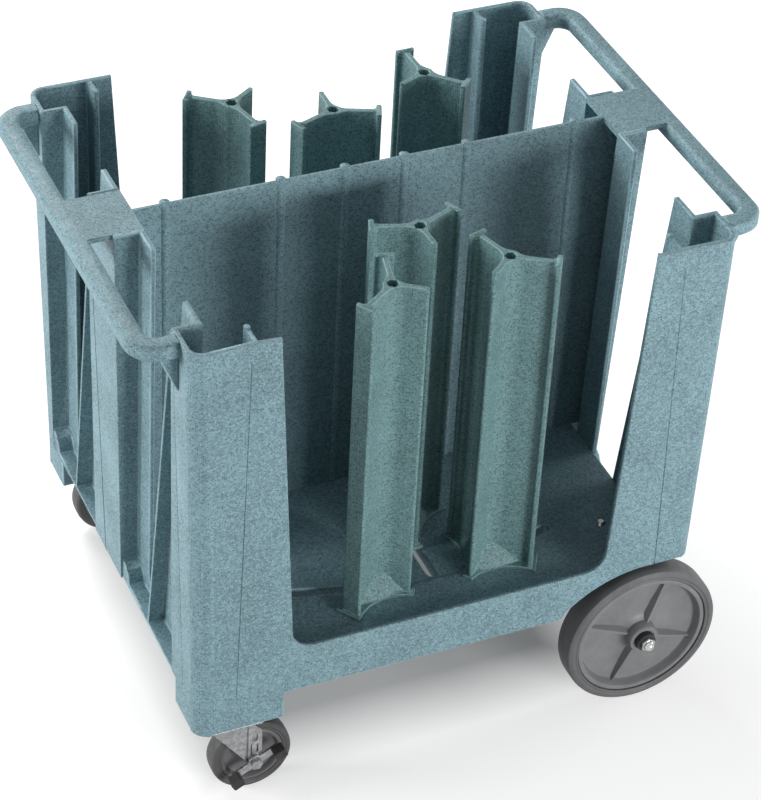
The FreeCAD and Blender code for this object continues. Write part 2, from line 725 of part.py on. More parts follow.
def handle(name, sign_x):
    owner = body(name)
    high, low = S["rim_height"], S["rim_height"] - S["handle_height"]
    outer, half = HALF_LENGTH + S["handle_reach"], S["handle_span"] / 2
    inner, inside = outer - S["handle_width"], half - S["handle_width"]
    bar = [(HALF_LENGTH, -half), (outer, -half), (outer, half), (HALF_LENGTH, half),
           (HALF_LENGTH, inside), (inner, inside), (inner, -inside), (HALF_LENGTH, -inside)]
    pad(owner, "XY_Plane", low, high, [mirrored(bar, sign_x, 1)])
    corners = [(outer, half), (outer, -half)]
    fillet(owner, S["handle_corner"], lambda e: any(
        upright(e, sign_x * x.value, y.value) for x, y in corners))
    hollows = [(inner, inside), (inner, -inside)]
    fillet(owner, S["handle_inner_corner"], lambda e: any(
        upright(e, sign_x * x.value, y.value) for x, y in hollows))
    chamfer(owner, S["handle_chamfer"], lambda e: (level(e, high.value) or level(e, low.value))
            and abs(abs(e.BoundBox.Center.x) - HALF_LENGTH.value) > 0.01)
    reach = inner + S["handle_chamfer"] * 1.5
    y_low, y_high = plate_sides()
    plate = box(RECESS - S["wall"], reach, y_low + S["seat_gap"], y_high - S["seat_gap"])
    pad(owner, "XY_Plane", PLATE_UNDER, high, [mirrored(plate, sign_x, 1)])
    gusset = [(HALF_LENGTH, low + S["handle_chamfer"]), (HALF_LENGTH, low - S["gusset_height"]),
              (HALF_LENGTH + S["gusset_reach"], low + S["handle_chamfer"])]
    middle = half - S["handle_width"] / 2
    for sign_y in (-1, 1):
        y_low, y_high = ordered(sign_y, middle - S["gusset_thickness"] / 2,
                                middle + S["gusset_thickness"] / 2)
        pad(owner, "XZ_Plane", y_low, y_high, [mirrored(gusset, sign_x, 1)])
    return owner


def caster_housing(name, sign_y):
    """Boxed foot at the caster end: four walls and the plate that takes the caster."""
    owner = body(name)
    wall, low, skirt = S["wall"], S["foot_height"], S["skirt_height"]
    outer = end_face(skirt)
    inner = outer - S["foot_length"]
    edge = HALF_WIDTH - S["foot_width"]
    pad(owner, "XY_Plane", low, skirt, [mirrored(box(inner, outer, edge, HALF_WIDTH), -1, sign_y)])
    radius = S["corner_radius"]
    fillet(owner, radius, lambda e: upright(e, -outer.value, sign_y * HALF_WIDTH.value))
    well = box(inner + wall, outer - wall, edge + wall, INNER_SIDE)
    pocket_down(owner, low + wall, skirt + 1, mirrored(well, -1, sign_y))
    for x, y in stud_places():
        hole(owner, x - S["caster_place_x"], y + sign_y * S["caster_place_y"],
             low - 1, low + wall + 1, S["stud_radius"] + S["fit_gap"])
    wall_end = RECESS - wall
    inner_walls = [(inner, edge), (wall_end, edge), (wall_end, edge + wall),
                   (inner + wall, edge + wall), (inner + wall, INNER_SIDE), (inner, INNER_SIDE)]
    pad(owner, "XY_Plane", skirt - 1, DECK_UNDER, [mirrored(inner_walls, -1, sign_y)])
    return owner


# ---------------------------------------------------------------- towers

def along(direction, distance, aside=0):
    """Point at a distance along a direction from the tower's hub, and aside to its left."""
    out_x, out_y = direction
    return (out_x * distance - out_y * aside, out_y * distance + out_x * aside)


def arm_direction():
    return cosine(S["tower_arm_angle"]), sine(S["tower_arm_angle"])


def head_corners(arm):
    """Cross bar at the end of a long arm, from the arm's front face round to its back face."""
    reach, half = S["tower_reach"], S["tower_head_length"] / 2
    web, bend, corner = S["tower_wall"] / 2, S["tower_head_fillet"], S["tower_head_corner"]
    near = reach - S["tower_head_thickness"]
    return [
        along(arm, near - bend, -web) + (-bend,), along(arm, near, -web - bend),
        along(arm, near, corner - half) + (corner,), along(arm, near + corner, -half),
        along(arm, reach - corner, -half) + (corner,), along(arm, reach, corner - half),
        along(arm, reach, half - corner) + (corner,), along(arm, reach - corner, half),
        along(arm, near + corner, half) + (corner,), along(arm, near, half - corner),
        along(arm, near, web + bend) + (-bend,), along(arm, near - bend, web),
    ]


def hub_back_points():
    """Where the back fillet leaves a long arm and where it meets the hub."""
    radius, bend, web = S["tower_hub_radius"], S["tower_back_fillet"], S["tower_wall"] / 2
    aside = web + bend
    reach = root((radius + bend) * (radius + bend) - aside * aside)
    arm = arm_direction()
    centre = along(arm, reach, aside)
    share = radius / (radius + bend)
    return along(arm, reach, web), (centre[0] * share, centre[1] * share)


def tower_half_plan():
    """Plan of the towers on one side of the short arm, from its tip round to the hub's back."""
    web, short, angle = S["tower_wall"] / 2, S["tower_stem"], S["tower_arm_angle"]
    arm = arm_direction()
    tangent, slope = S["tower_front_fillet"], (as_size(180) - angle) / 2
    bend = tangent * cosine(slope) / sine(slope)
    corner = along(arm, web * (cosine(angle) + 1) / sine(angle), -web)
    on_back, on_hub = hub_back_points()
    return [
        (short - web, web), (corner[0] + tangent, web, -bend),
        along(arm, web * (cosine(angle) + 1) / sine(angle) + tangent, -web),
    ] + head_corners(arm) + [on_back + (-S["tower_back_fillet"],), on_hub]


def tower_plan():
    """The whole plan, counter-clockwise, with a round tip on the short arm."""
    half = tower_half_plan()
    count = len(half)
    lower = []
    for index in range(count - 1, -1, -1):
        x, y = half[index][:2]
        radius = half[index - 1][2:] if index > 0 else ()
        lower.append((x, -as_size(y)) + tuple(radius))
    upper = half[:-1] + [half[-1][:2] + (S["tower_hub_radius"],)]
    lower[-1] = lower[-1][:2] + (S["tower_wall"] / 2 * 1.0001,)
    return upper + lower


def foot_plan(share, reach_share):
    """Six corners of the foot: the three arm ends and the middles of the three faces."""
    arm, slope = arm_direction(), S["tower_arm_angle"] / 2
    face = (cosine(slope), sine(slope))
    tip = along((as_size(1), as_size(0)), S["tower_stem"] * reach_share)
    side = along(face, S["tower_foot_reach"] * share)
    head = along(arm, (S["tower_reach"] - S["tower_head_thickness"]) * reach_share)
    back = (-S["tower_foot_reach"] * share, as_size(0))
    return [tip, side, head, back, (head[0], -head[1]), (side[0], -side[1])]


def foot_outline():
    """Foot plate: arcs that curve in between the ends of the three arms."""
    arm, half = arm_direction(), S["tower_head_length"] / 2 + S["tower_foot_flange"]
    far, tip_half = S["tower_reach"] + S["tower_foot_flange"], S["tower_wall"]
    tip = S["tower_stem"] + S["tower_foot_flange"]
    front, back = along(arm, far, -half), along(arm, far, half)
    bend = S["tower_foot_bend"]
    return [
        (tip, -tip_half), (tip, tip_half, -bend), front, back + (-S["tower_back_bend"],),
        (back[0], -back[1]), (front[0], -front[1], -bend),
    ]


def tower(name, slot, along, turn):
    owner = body(name)
    pad(owner, "XY_Plane", 0, S["tower_height"], [tower_plan()])
    pad(owner, "XY_Plane", 0, S["tower_foot_height"], [foot_outline()])
    loft(owner, S["tower_foot_height"] - 1, foot_plan(1, 0.92), S["tower_wedge_height"],
         foot_plan(0.45, 0.35))
    pocket_down(owner, S["tower_foot_height"], S["tower_height"] + 1, hexagon(S["tower_hex"]))
    bore = S["clamp_bolt_radius"] + S["running_gap"]
    hole(owner, 0, 0, -1, S["tower_foot_height"] + 1, bore)
    x, y, angle, _ = slot
    place(owner, x + cosine(angle) * along, y + sine(angle) * along, S["deck_top"], None, turn)
    return owner


# ---------------------------------------------------------------- fasteners and small helpers

def hexagon(across, x=0, y=0):
    corner = across / 2 / cosine(30)
    return [(x + corner * cosine(60 * n), y + corner * sine(60 * n)) for n in range(6)]


def hole(owner, x, y, low, high, radius):
    """Round hole between two heights."""
    sketch = draw(owner, "XY_Plane", high, [], [(x, y, radius)])
    feature = owner.newObject("PartDesign::Pocket", owner.Name + "_hole")
    feature.Profile = sketch
    bind(feature, "Length", as_size(high) - as_size(low))
    return feature


def stud_places():
    """Places of the four plate studs, measured from a caster's swivel axis."""
    x, y = S["plate_hole_x"], S["plate_hole_y"]
    return [(sign_x * x, sign_y * y) for sign_x in (-1, 1) for sign_y in (-1, 1)]


def bracket_bolt_places():
    half = S["bracket_bolt_pitch"] / 2
    return [S["wheel_place_x"] - half, S["wheel_place_x"] + half]


def lay_across(owner, sign_y, x, y, z):
    """Turn a body made round Z so that its Z points out to one side of the cart."""
    place(owner, x, y, z, V(1, 0, 0), -90 * sign_y)


# ---------------------------------------------------------------- tower clamps

def tower_clamp(name, slot, along):
    """Bolt with its head on the floor of the tower's bore and a guide plate under the deck."""
    owner = body(name)
    thick, deck = S["deck_thickness"], S["seat_gap"]
    length, width = S["clamp_plate_length"] / 2, S["clamp_plate_width"] / 2
    neck = S["slot_width"] / 2 - S["running_gap"]
    under = -thick - S["slot_frame_depth"] - deck
    plate_under = under - S["clamp_plate_thickness"]
    run = S["clamp_neck"]
    pad(owner, "XY_Plane", plate_under, under, [box(-length, length, -width, width)])
    pad(owner, "XY_Plane", under - 1, -deck, [box(-run, run, -neck, neck)])
    tail = plate_under - S["clamp_tail"]
    head = S["tower_foot_height"] + deck
    pad(owner, "XY_Plane", tail, head, [], [(0, 0, S["clamp_bolt_radius"])])
    pad(owner, "XY_Plane", plate_under - S["clamp_nut_height"], plate_under,
        [hexagon(S["clamp_head_across"])])
    pad(owner, "XY_Plane", head, head + S["clamp_head_height"], [hexagon(S["clamp_head_across"])])
    x, y, angle, _ = slot
    place(owner, x + cosine(angle) * along, y + sine(angle) * along, S["deck_top"], None, angle)
    return owner


# ---------------------------------------------------------------- large wheels and axle

WHEEL_Z = S["wheel_radius"]
BOSS_OVER = (S["wheel_boss_length"] - S["wheel_width"]) / 2
BOSS_OUT = S["wheel_face_y"] + BOSS_OVER
BOSS_IN = S["wheel_face_y"] - S["wheel_width"] - BOSS_OVER


def wheel_hub(name, sign_y):
    owner = body(name)
    middle, half = -S["wheel_width"] / 2, S["wheel_boss_length"] / 2
    bore, boss = S["axle_radius"] + S["running_gap"], S["wheel_boss_radius"]
    seat = S["wheel_radius"] - S["tyre_depth"]
    rim, disc = seat - S["rim_depth"], S["disc_thickness"] / 2
    rim_half = S["wheel_width"] / 2 - 3
    outline = [
        (bore, middle - half), (boss, middle - half), (boss + 3, middle - disc),
        (rim - 3, middle - disc), (rim, middle - rim_half), (seat, middle - rim_half),
        (seat, middle + rim_half), (rim, middle + rim_half), (rim - 3, middle + disc),
        (boss + 3, middle + disc), (boss, middle + half), (bore, middle + half),
    ]
    revolve(owner, outline)
    wide, slim = S["spoke_width"] / 2, S["spoke_width"] / 4
    ahead = (cosine(S["spoke_turn"]), sine(S["spoke_turn"]))
    rib = [along(ahead, boss - 2, -wide), along(ahead, rim + 2, -slim),
           along(ahead, rim + 2, slim), along(ahead, boss - 2, wide)]
    reach = disc + S["spoke_height"]
    spoke = pad(owner, "XY_Plane", middle - reach, middle + reach, [rib])
    polar(owner, [spoke], 4)
    lay_across(owner, sign_y, S["wheel_place_x"], sign_y * S["wheel_face_y"], WHEEL_Z)
    return owner


def tyre(name, radius, depth, width, shoulder):
    """Ring round the body's Z axis with bevelled shoulders, centred on the origin plane."""
    owner = body(name)
    seat, half = radius - depth + S["fit_gap"], width / 2
    outline = [
        (seat, -half), (radius - shoulder, -half), (radius, shoulder - half),
        (radius, half - shoulder), (radius - shoulder, half), (seat, half),
    ]
    revolve(owner, outline)
    return owner


def axle(name):
    owner = body(name)
    half = S["axle_length"] / 2
    radius = S["axle_radius"]
    revolve(owner, [(0, -half), (radius - 1, -half), (radius, 1 - half), (radius, half - 1),
                    (radius - 1, half), (0, half)])
    lay_across(owner, -1, S["wheel_place_x"], 0, WHEEL_Z)
    return owner


def washer(name, sign_y, start, thickness, radius):
    """Ring on the axle; start is its distance from the middle of the cart."""
    owner = body(name)
    bore = S["axle_radius"] + S["fit_gap"]
    revolve(owner, [(bore, 0), (radius, 0), (radius, thickness), (bore, thickness)])
    lay_across(owner, sign_y, S["wheel_place_x"], sign_y * start, WHEEL_Z)
    return owner


def cap_nut(name, sign_y, start):
    owner = body(name)
    width, height = S["cap_nut_width"], S["cap_nut_height"]
    skirt = height * 0.55
    pad(owner, "XY_Plane", 0, skirt, [hexagon(width)])
    dome = width / 2 - 1.5
    revolve(owner, [(0, skirt - 1), (dome, skirt - 1), (dome, skirt),
                    (dome * 0.8, height - 1.6), (dome * 0.45, height), (0, height)])
    inside = S["axle_radius"] + S["fit_gap"]
    depth = S["axle_length"] / 2 - start + S["fit_gap"]
    hole(owner, 0, 0, -1, depth, inside)
    lay_across(owner, sign_y, S["wheel_place_x"], sign_y * start, WHEEL_Z)
    return owner


def axle_bracket(name, sign_y):
    """Bolted flange under the deck and a plate down to the eye that holds the axle."""
    owner = body(name)
    x, half, thick = S["wheel_place_x"], S["bracket_width"] / 2, S["bracket_thickness"]
    eye, place_y, under = S["bracket_eye"], S["bracket_place_y"], DECK_UNDER - S["seat_gap"]
    plate = [(x - half, under), (x - half, under - 24), (x - eye, WHEEL_Z + 4),
             (x - eye, WHEEL_Z, eye * 1.0001), (x + eye, WHEEL_Z), (x + eye, WHEEL_Z + 4),
             (x + half, under - 24), (x + half, under)]
    y_low, y_high = ordered(sign_y, place_y, place_y + thick)
    pad(owner, "XZ_Plane", y_low, y_high, [plate])
    flange = box(x - half, x + half, place_y + 1 - S["bracket_flange"], place_y + 1)
    pad(owner, "XY_Plane", under - thick, under, [mirrored(flange, 1, sign_y)])
    for bolt_x in bracket_bolt_places():
        hole(owner, bolt_x, sign_y * S["bracket_bolt_y"], under - thick - 1, under + 1,
             S["small_bolt_radius"] + S["fit_gap"])
    cut_low, cut_high = ordered(sign_y, place_y - 1, place_y + thick + 1)
    sketch = draw(owner, "XZ_Plane", -as_size(cut_high), [],
                  [(x, WHEEL_Z, S["axle_radius"] + S["running_gap"])])
    feature = owner.newObject("PartDesign::Pocket", owner.Name + "_bore")
    feature.Profile = sketch
    bind(feature, "Length", as_size(cut_high) - as_size(cut_low))
    feature.Reversed = True
    return owner


def bracket_bolts(name, sign_y):
    """The two bolts of one bracket: heads on the deck, nuts under the bracket's flange."""
    owner = DOC.addObject("Part::Feature", name)
    owner.Label = name
    NODES[name] = owner
    radius, head = S["small_bolt_radius"].value, S["small_bolt_head_radius"].value
    under = DECK_UNDER.value - S["seat_gap"].value - S["bracket_thickness"].value
    top, height = S["deck_top"].value + 0.1, S["small_bolt_head_height"].value
    bolts = []
    for x in bracket_bolt_places():
        where = V(x.value, sign_y * S["bracket_bolt_y"].value, 0)
        shank = Part.makeCylinder(radius, top - under + 9, where + V(0, 0, under - 9))
        dome = Part.makeCone(head, head * 0.55, height, where + V(0, 0, top))
        corners = [where + V(radius * 1.9 * math.cos(math.pi * n / 3),
                             radius * 1.9 * math.sin(math.pi * n / 3), under - 6.6)
                   for n in range(7)]
        nut = Part.Face(Part.makePolygon(corners)).extrude(V(0, 0, 6.5))
        bolts.append(shank.fuse([dome, nut]))
    owner.Shape = Part.makeCompound(bolts)
    return owner


# ---------------------------------------------------------------- casters and brake

PLATE_UNDERSIDE = S["foot_height"] - S["seat_gap"] - S["caster_plate_thickness"]
RACE_UNDERSIDE = PLATE_UNDERSIDE - S["race_height"]
CROWN_TOP = RACE_UNDERSIDE - S["running_gap"]
CROWN_UNDERSIDE = CROWN_TOP - S["crown_thickness"]
FORK_OUTSIDE = S["fork_inside"] / 2 + S["fork_thickness"]


def caster_place(owner, sign_y):
    place(owner, -S["caster_place_x"], sign_y * S["caster_place_y"], 0)


def caster_plate(name, sign_y):
    """Top plate with its race, kingpin and studs."""
    owner = body(name)
    x, y = S["caster_plate_length"] / 2, S["caster_plate_width"] / 2
    top = PLATE_UNDERSIDE + S["caster_plate_thickness"]
    pad(owner, "XY_Plane", PLATE_UNDERSIDE, top, [box(-x, x, -y, y)])
    corners = [(x, y), (-x, y), (-x, -y), (x, -y)]
    fillet(owner, 9, lambda e: any(upright(e, a.value, b.value) for a, b in corners))
    head = S["kingpin_head_radius"]
    race, pin = S["race_radius"], S["kingpin_radius"]
    base = CROWN_UNDERSIDE - S["running_gap"]
    revolve(owner, [
        (0, base - S["kingpin_head_height"]), (head, base - S["kingpin_head_height"]),
        (head, base), (pin, base), (pin, RACE_UNDERSIDE), (race - 4, RACE_UNDERSIDE),
        (race, RACE_UNDERSIDE + S["race_height"] * 0.6), (race, PLATE_UNDERSIDE + 1),
        (0, PLATE_UNDERSIDE + 1),
    ])
    floor = S["foot_height"] + S["wall"] + S["seat_gap"]
    for stud_x, stud_y in stud_places():
        pad(owner, "XY_Plane", top - 1, floor + S["stud_nut_height"] + 3, [],
            [(stud_x, stud_y, S["stud_radius"])])
        pad(owner, "XY_Plane", floor, floor + S["stud_nut_height"],
            [hexagon(S["stud_nut_across"], stud_x, stud_y)])
    caster_place(owner, sign_y)
    return owner


def caster_fork(name, sign_y):
    owner = body(name)
    back, front, trail = S["fork_back"], S["fork_front"], S["caster_trail"]
    tip, axle_z = S["fork_tip_radius"], S["caster_radius"]
    half = S["crown_width"] / 2
    crown = [(-back, -half), (front, -half), (front, half), (-back, half)]
    pad(owner, "XY_Plane", CROWN_UNDERSIDE, CROWN_TOP, [crown])
    leg = [(-back, CROWN_TOP), (-back, CROWN_UNDERSIDE - 8), (trail - tip, axle_z),
           (trail - tip * 0.7, axle_z - tip * 0.714, tip * 1.0001),
           (trail + tip * 0.7, axle_z - tip * 0.714), (trail + tip, axle_z),
           (trail + tip * 0.9, CROWN_UNDERSIDE - 22), (front, CROWN_UNDERSIDE - 6),
           (front, CROWN_TOP)]
    for side in (-1, 1):
        y_low, y_high = ordered(side, S["fork_inside"] / 2, FORK_OUTSIDE)
        pad(owner, "XZ_Plane", y_low, y_high, [leg])
    hole(owner, 0, 0, CROWN_UNDERSIDE - 1, CROWN_TOP + 1,
         S["kingpin_radius"] + S["running_gap"])
    cross_hole(owner, FORK_OUTSIDE + 1, S["caster_axle_radius"] + S["fit_gap"])
    caster_place(owner, sign_y)
    return owner


def cross_hole(owner, reach, radius):
    """Hole along Y at the caster's axle, out to the same reach on both sides."""
    sketch = draw(owner, "XZ_Plane", -as_size(reach), [],
                  [(S["caster_trail"], S["caster_radius"], radius)])
    feature = owner.newObject("PartDesign::Pocket", owner.Name + "_axle_hole")
    feature.Profile = sketch
    bind(feature, "Length", as_size(reach) * 2)
    feature.Reversed = True
    return feature


def caster_core(name, sign_y):
    owner = body(name)
    half = S["fork_inside"] / 2 - 0.5
    bore, boss = S["caster_axle_radius"] + S["running_gap"], S["caster_boss_radius"]
    seat = S["caster_radius"] - S["caster_tyre_depth"]
    rim, rim_half = seat - S["caster_rim_depth"], S["caster_width"] / 2 - 2
    revolve(owner, [
        (bore, -half), (boss, -half), (boss + 2, -4), (rim - 2, -4), (rim, -rim_half),
        (seat, -rim_half), (seat, rim_half), (rim, rim_half), (rim - 2, 4), (boss + 2, 4),
        (boss, half), (bore, half),
    ])
    lay_across(owner, sign_y, *caster_axle_place(sign_y))
    return owner


def caster_axle_place(sign_y):
    return (S["caster_trail"] - S["caster_place_x"], sign_y * S["caster_place_y"],
            S["caster_radius"])


def caster_bolt(name, sign_y, outer_reach):
    """Axle bolt: head on the outer side of the cart, nut on the inner side."""
    owner = body(name)
    seat, across = FORK_OUTSIDE + S["seat_gap"], S["caster_axle_radius"] * 3.2
    inner = -seat - S["caster_axle_radius"]
    pad(owner, "XY_Plane", inner - 3, outer_reach + 1, [], [(0, 0, S["caster_axle_radius"])])
    pad(owner, "XY_Plane", inner - 2, -seat, [hexagon(across)])
    pad(owner, "XY_Plane", outer_reach, outer_reach + 6, [hexagon(across)])
    lay_across(owner, sign_y, *caster_axle_place(sign_y))
    return owner


def brake_levels():
    """Distances of the strap and the pedal from the caster's middle plane."""
    strap = FORK_OUTSIDE + S["seat_gap"]
    strap_out = strap + S["strap_thickness"]
    pedal = strap_out + S["seat_gap"]
    return strap, strap_out, pedal, pedal + S["pedal_thickness"]


def brake_strap(name):
    """Steel strap outside the fork, from its crown down round the axle."""
    owner = body(name)
    strap, strap_out, _, _ = brake_levels()
    half, trail, axle_z = S["strap_width"] / 2, S["caster_trail"], S["caster_radius"]
    top = CROWN_TOP - S["seat_gap"]
    outline = [(trail - half, axle_z, half * 1.0001), (trail + half, axle_z),
               (trail + half, CROWN_UNDERSIDE - 20), (S["fork_front"], top), (trail - half, top)]
    pad(owner, "XZ_Plane", -strap_out, -strap, [outline])
    cross_hole(owner, strap_out + 1, S["caster_axle_radius"] + S["fit_gap"])
    caster_place(owner, -1)
    return owner


def brake_pedal(name):
    """Rocker on the axle bolt with a folded tread plate at each end for the pads."""
    owner = body(name)
    _, _, pedal, pedal_out = brake_levels()
    arm, high, boss = S["pedal_arm"], S["pedal_height"] / 2, S["pedal_boss_radius"]
    pad(owner, "XY_Plane", pedal, pedal_out, [box(-arm, arm, -high, high)])
    pad(owner, "XY_Plane", pedal, pedal_out, [], [(0, 0, boss)])
    hole(owner, 0, 0, pedal - 1, pedal_out + 1, S["caster_axle_radius"] + S["running_gap"])
    tongue = S["pad_length"] - 6
    for side in (-1, 1):
        x_low, x_high = ordered(side, arm - tongue / 2, arm + tongue / 2)
        pad(owner, "XY_Plane", pedal, pedal_out + S["pad_depth"] - 4, [box(x_low, x_high, -2, 2)])
    trail_place = caster_axle_place(-1)
    tip_up(owner, trail_place, 0)
    return owner


def tip_up(owner, where, lift):
    """Set a piece of the pedal on the axle, its Z outwards and its X along the tilted rocker."""
    x, y, z = where
    place(owner, x, y - lift, z)
    across = FreeCAD.Rotation(V(1, 0, 0), 90)
    tilt = FreeCAD.Rotation(V(0, 1, 0), -S["pedal_tilt"].value)
    owner.Placement = FreeCAD.Placement(owner.Placement.Base, tilt * across)
    for letter, size in zip("xyz", (x, y - lift, z)):
        bind(owner, "Placement.Base." + letter, size)


def brake_pad(name, side):
    """Rubber pad pushed over one tongue of the pedal."""
    owner = body(name)
    _, _, _, pedal_out = brake_levels()
    low = pedal_out + S["seat_gap"]
    high, length = low + S["pad_depth"], S["pad_length"] / 2
    middle, half = side * S["pedal_arm"], S["pad_height"] / 2
    pad(owner, "XY_Plane", low, high, [box(middle - length, middle + length, -half, half)])
    chamfer(owner, 2, lambda e: e.BoundBox.ZLength > 5)
    tongue, gap = (S["pad_length"] - 6) / 2 + S["fit_gap"], 2 + S["fit_gap"]
    pocket(owner, "XY_Plane", low - 1, high - 4 + S["fit_gap"],
           [box(middle - tongue, middle + tongue, -gap, gap)])
    tip_up(owner, caster_axle_place(-1), 0)
    return owner


def add_wheel(side, sign_y):
    wheel_hub("wheel_hub_" + side, sign_y)
    ring = tyre("wheel_tyre_" + side, S["wheel_radius"], S["tyre_depth"], S["wheel_width"],
                S["tyre_chamfer"])
    middle = S["wheel_face_y"] - S["wheel_width"] / 2
    lay_across(ring, sign_y, S["wheel_place_x"], sign_y * middle, WHEEL_Z)
    gap, thick = S["seat_gap"], S["axle_washer_thickness"]
    washer("wheel_washer_" + side, sign_y, BOSS_OUT + gap, thick, S["axle_washer_radius"])
    sleeve_start = S["bracket_place_y"] + S["bracket_thickness"] + gap
    washer("axle_sleeve_" + side, sign_y, sleeve_start, BOSS_IN - gap - sleeve_start,
           S["sleeve_radius"])
    cap_nut("cap_nut_" + side, sign_y, BOSS_OUT + thick + gap * 2)
    axle_bracket("axle_bracket_" + side, sign_y)
    bracket_bolts("bracket_bolts_" + side, sign_y)


def add_caster(side, sign_y):
    caster_plate("caster_plate_" + side, sign_y)
    caster_fork("caster_fork_" + side, sign_y)
    caster_core("caster_core_" + side, sign_y)
    ring = tyre("caster_tyre_" + side, S["caster_radius"], S["caster_tyre_depth"],
                S["caster_width"], S["tread_chamfer"])
    lay_across(ring, sign_y, *caster_axle_place(sign_y))
    gap = S["seat_gap"]
    braked_reach = brake_levels()[3] + gap
    caster_bolt("caster_bolt_" + side, sign_y,
                braked_reach if sign_y < 0 else FORK_OUTSIDE + gap)


# ---------------------------------------------------------------- assembly

def build():
    corner_post("body_corner_front_left", -1, -1)
    corner_post("body_corner_front_right", 1, -1)
    corner_post("body_corner_rear_left", -1, 1)
    corner_post("body_corner_rear_right", 1, 1)
    centre_post("body_end_left", -1)
    centre_post("body_end_right", 1)
    side_wall("body_side_front", -1)
    side_wall("body_side_rear", 1)
    floor_deck("body_floor")
    divider_wall("body_divider")
    handle("body_handle_left", -1)
    handle("body_handle_right", 1)
    caster_housing("body_foot_front", -1)
    caster_housing("body_foot_rear", 1)
    for name, (slot, along, turn) in TOWERS.items():
        tower(name, slots()[slot], along, turn)
        tower_clamp(name.replace("tower", "tower_clamp"), slots()[slot], along)
    axle("axle")
    for side, sign_y in (("front", -1), ("rear", 1)):
        add_wheel(side, sign_y)
        add_caster(side, sign_y)
    brake_strap("brake_strap")
    brake_pedal("brake_pedal")
    brake_pad("brake_pad_low", -1)
    brake_pad("brake_pad_high", 1)


def check_and_write():
    DOC.recompute()
    for item in DOC.Objects:
        if "Invalid" in item.State or "Error" in item.State:
            raise ValueError("%s failed: %s" % (item.Name, item.State))
    os.makedirs("parts", exist_ok=True)
    for name, item in NODES.items():
        if item.Shape.isNull() or not item.Shape.isValid():
            raise ValueError("bad shape: " + name)
        item.Shape.exportStep("parts/%s.step" % name)
        print(name, len(item.Shape.Solids), round(item.Shape.Volume / 1000), "cm3")


build()
check_and_write()
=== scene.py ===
"""Looks of the plate dispenser cart: speckled mouldings, grey wheels and zinc fittings."""
import json
import math

import bmesh
import bpy
from bpy.props import FloatProperty, FloatVectorProperty, PointerProperty
from mathutils import Matrix, Vector
from mathutils.bvhtree import BVHTree


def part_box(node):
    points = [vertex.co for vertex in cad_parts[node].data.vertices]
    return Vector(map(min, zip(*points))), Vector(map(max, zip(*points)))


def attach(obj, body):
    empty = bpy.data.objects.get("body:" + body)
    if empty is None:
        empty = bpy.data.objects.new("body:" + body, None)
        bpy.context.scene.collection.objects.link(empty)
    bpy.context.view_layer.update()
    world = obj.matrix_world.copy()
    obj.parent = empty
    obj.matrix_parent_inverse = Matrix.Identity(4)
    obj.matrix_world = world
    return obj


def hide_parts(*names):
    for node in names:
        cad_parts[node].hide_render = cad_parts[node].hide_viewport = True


bl_info = {
    "name": "Plate Dispenser Cart",
    "version": (1, 0, 0),
    "blender": (4, 5, 0),
    "location": "3D View > Sidebar > Plate Cart",
    "description": "Adds the finished pieces and surfaces of a plate dispenser cart",
    "category": "Object",
}

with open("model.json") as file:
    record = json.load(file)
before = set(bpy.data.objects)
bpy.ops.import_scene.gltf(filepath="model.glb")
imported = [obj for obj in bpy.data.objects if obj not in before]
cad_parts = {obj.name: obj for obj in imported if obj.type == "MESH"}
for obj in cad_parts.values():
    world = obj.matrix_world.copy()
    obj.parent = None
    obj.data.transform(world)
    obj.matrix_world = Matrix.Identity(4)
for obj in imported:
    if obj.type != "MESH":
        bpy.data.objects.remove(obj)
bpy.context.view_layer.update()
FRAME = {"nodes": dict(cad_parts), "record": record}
NODES = FRAME["nodes"]
MM = 0.001

# Cleaning a node's mesh: lengths in metres, angles in degrees
SAME_POINT = 1e-5
NO_LENGTH = 1e-6
FLAT_BEND = 0.3
WIDE_CORNER = 150.0

# Rounding its edges: lengths in metres, angles in degrees
LEAST_SHARP = 50.0
ROUND_SEGMENTS = 2
NARROW_SHARE = 0.9
TOUCH_REACH = 0.0006
DECK_GAP = 0.00005
FITTING_ROUND = 0.0006

# Face attribute of the rounds, which the mouldings' surface reads as a painted highlight along
# the edges
PAINTED_HIGHLIGHT_LAYER = "edge"

# Creases that stay sharp, in degrees
CREASE = 32.0
MOULDED_CREASE = 48.0
FITTING_CREASE = 40.0
DISC_CREASE = 36.0
PAD_CREASE = 30.0

# Half outlines of the turned pieces, from the bore outwards: radius and reach along Y, in mm
WHEEL_TREAD = [(110.2, 20.5), (112.0, 21.4), (114.5, 20.2), (117.0, 21.8), (122.0, 21.2),
               (125.6, 18.4), (126.8, 14.0), (127.0, 6.0)]
WHEEL_DISC = [(8.1, 26.6), (16.6, 26.6), (17.6, 28.0), (23.0, 27.6), (24.6, 25.5), (25.2, 12.0),
              (29.0, 8.6), (36.0, 5.0), (60.0, 3.6), (92.0, 3.6), (97.0, 5.0), (99.6, 9.0),
              (100.6, 16.5), (102.2, 18.8), (106.0, 19.4), (108.6, 18.6), (109.8, 16.4)]
CASTER_TREAD = [(49.7, 13.6), (51.5, 15.0), (54.0, 14.4), (56.5, 15.8), (60.0, 15.4),
                (62.6, 12.6), (63.4, 8.0), (63.5, 3.0)]
CASTER_CORE = [(5.1, 19.6), (11.6, 19.6), (12.8, 18.4), (13.4, 9.0), (17.0, 5.6), (24.0, 4.4),
               (36.0, 4.4), (40.5, 6.6), (42.4, 12.0), (44.0, 14.2), (47.4, 14.6), (49.4, 13.2)]
WHEEL_STEPS = 128
CASTER_STEPS = 96

# Ribs of the wheel disc: reach, half width, half width of the top, foot and top level, in mm
RIB_RINGS = ((17, 8.5, 2.2, 2.0, 18.0), (58, 5.5, 1.4, 2.0, 14.0), (100, 2.2, 0.9, 2.0, 9.5))
RIBS = 4
RIB_START = -22

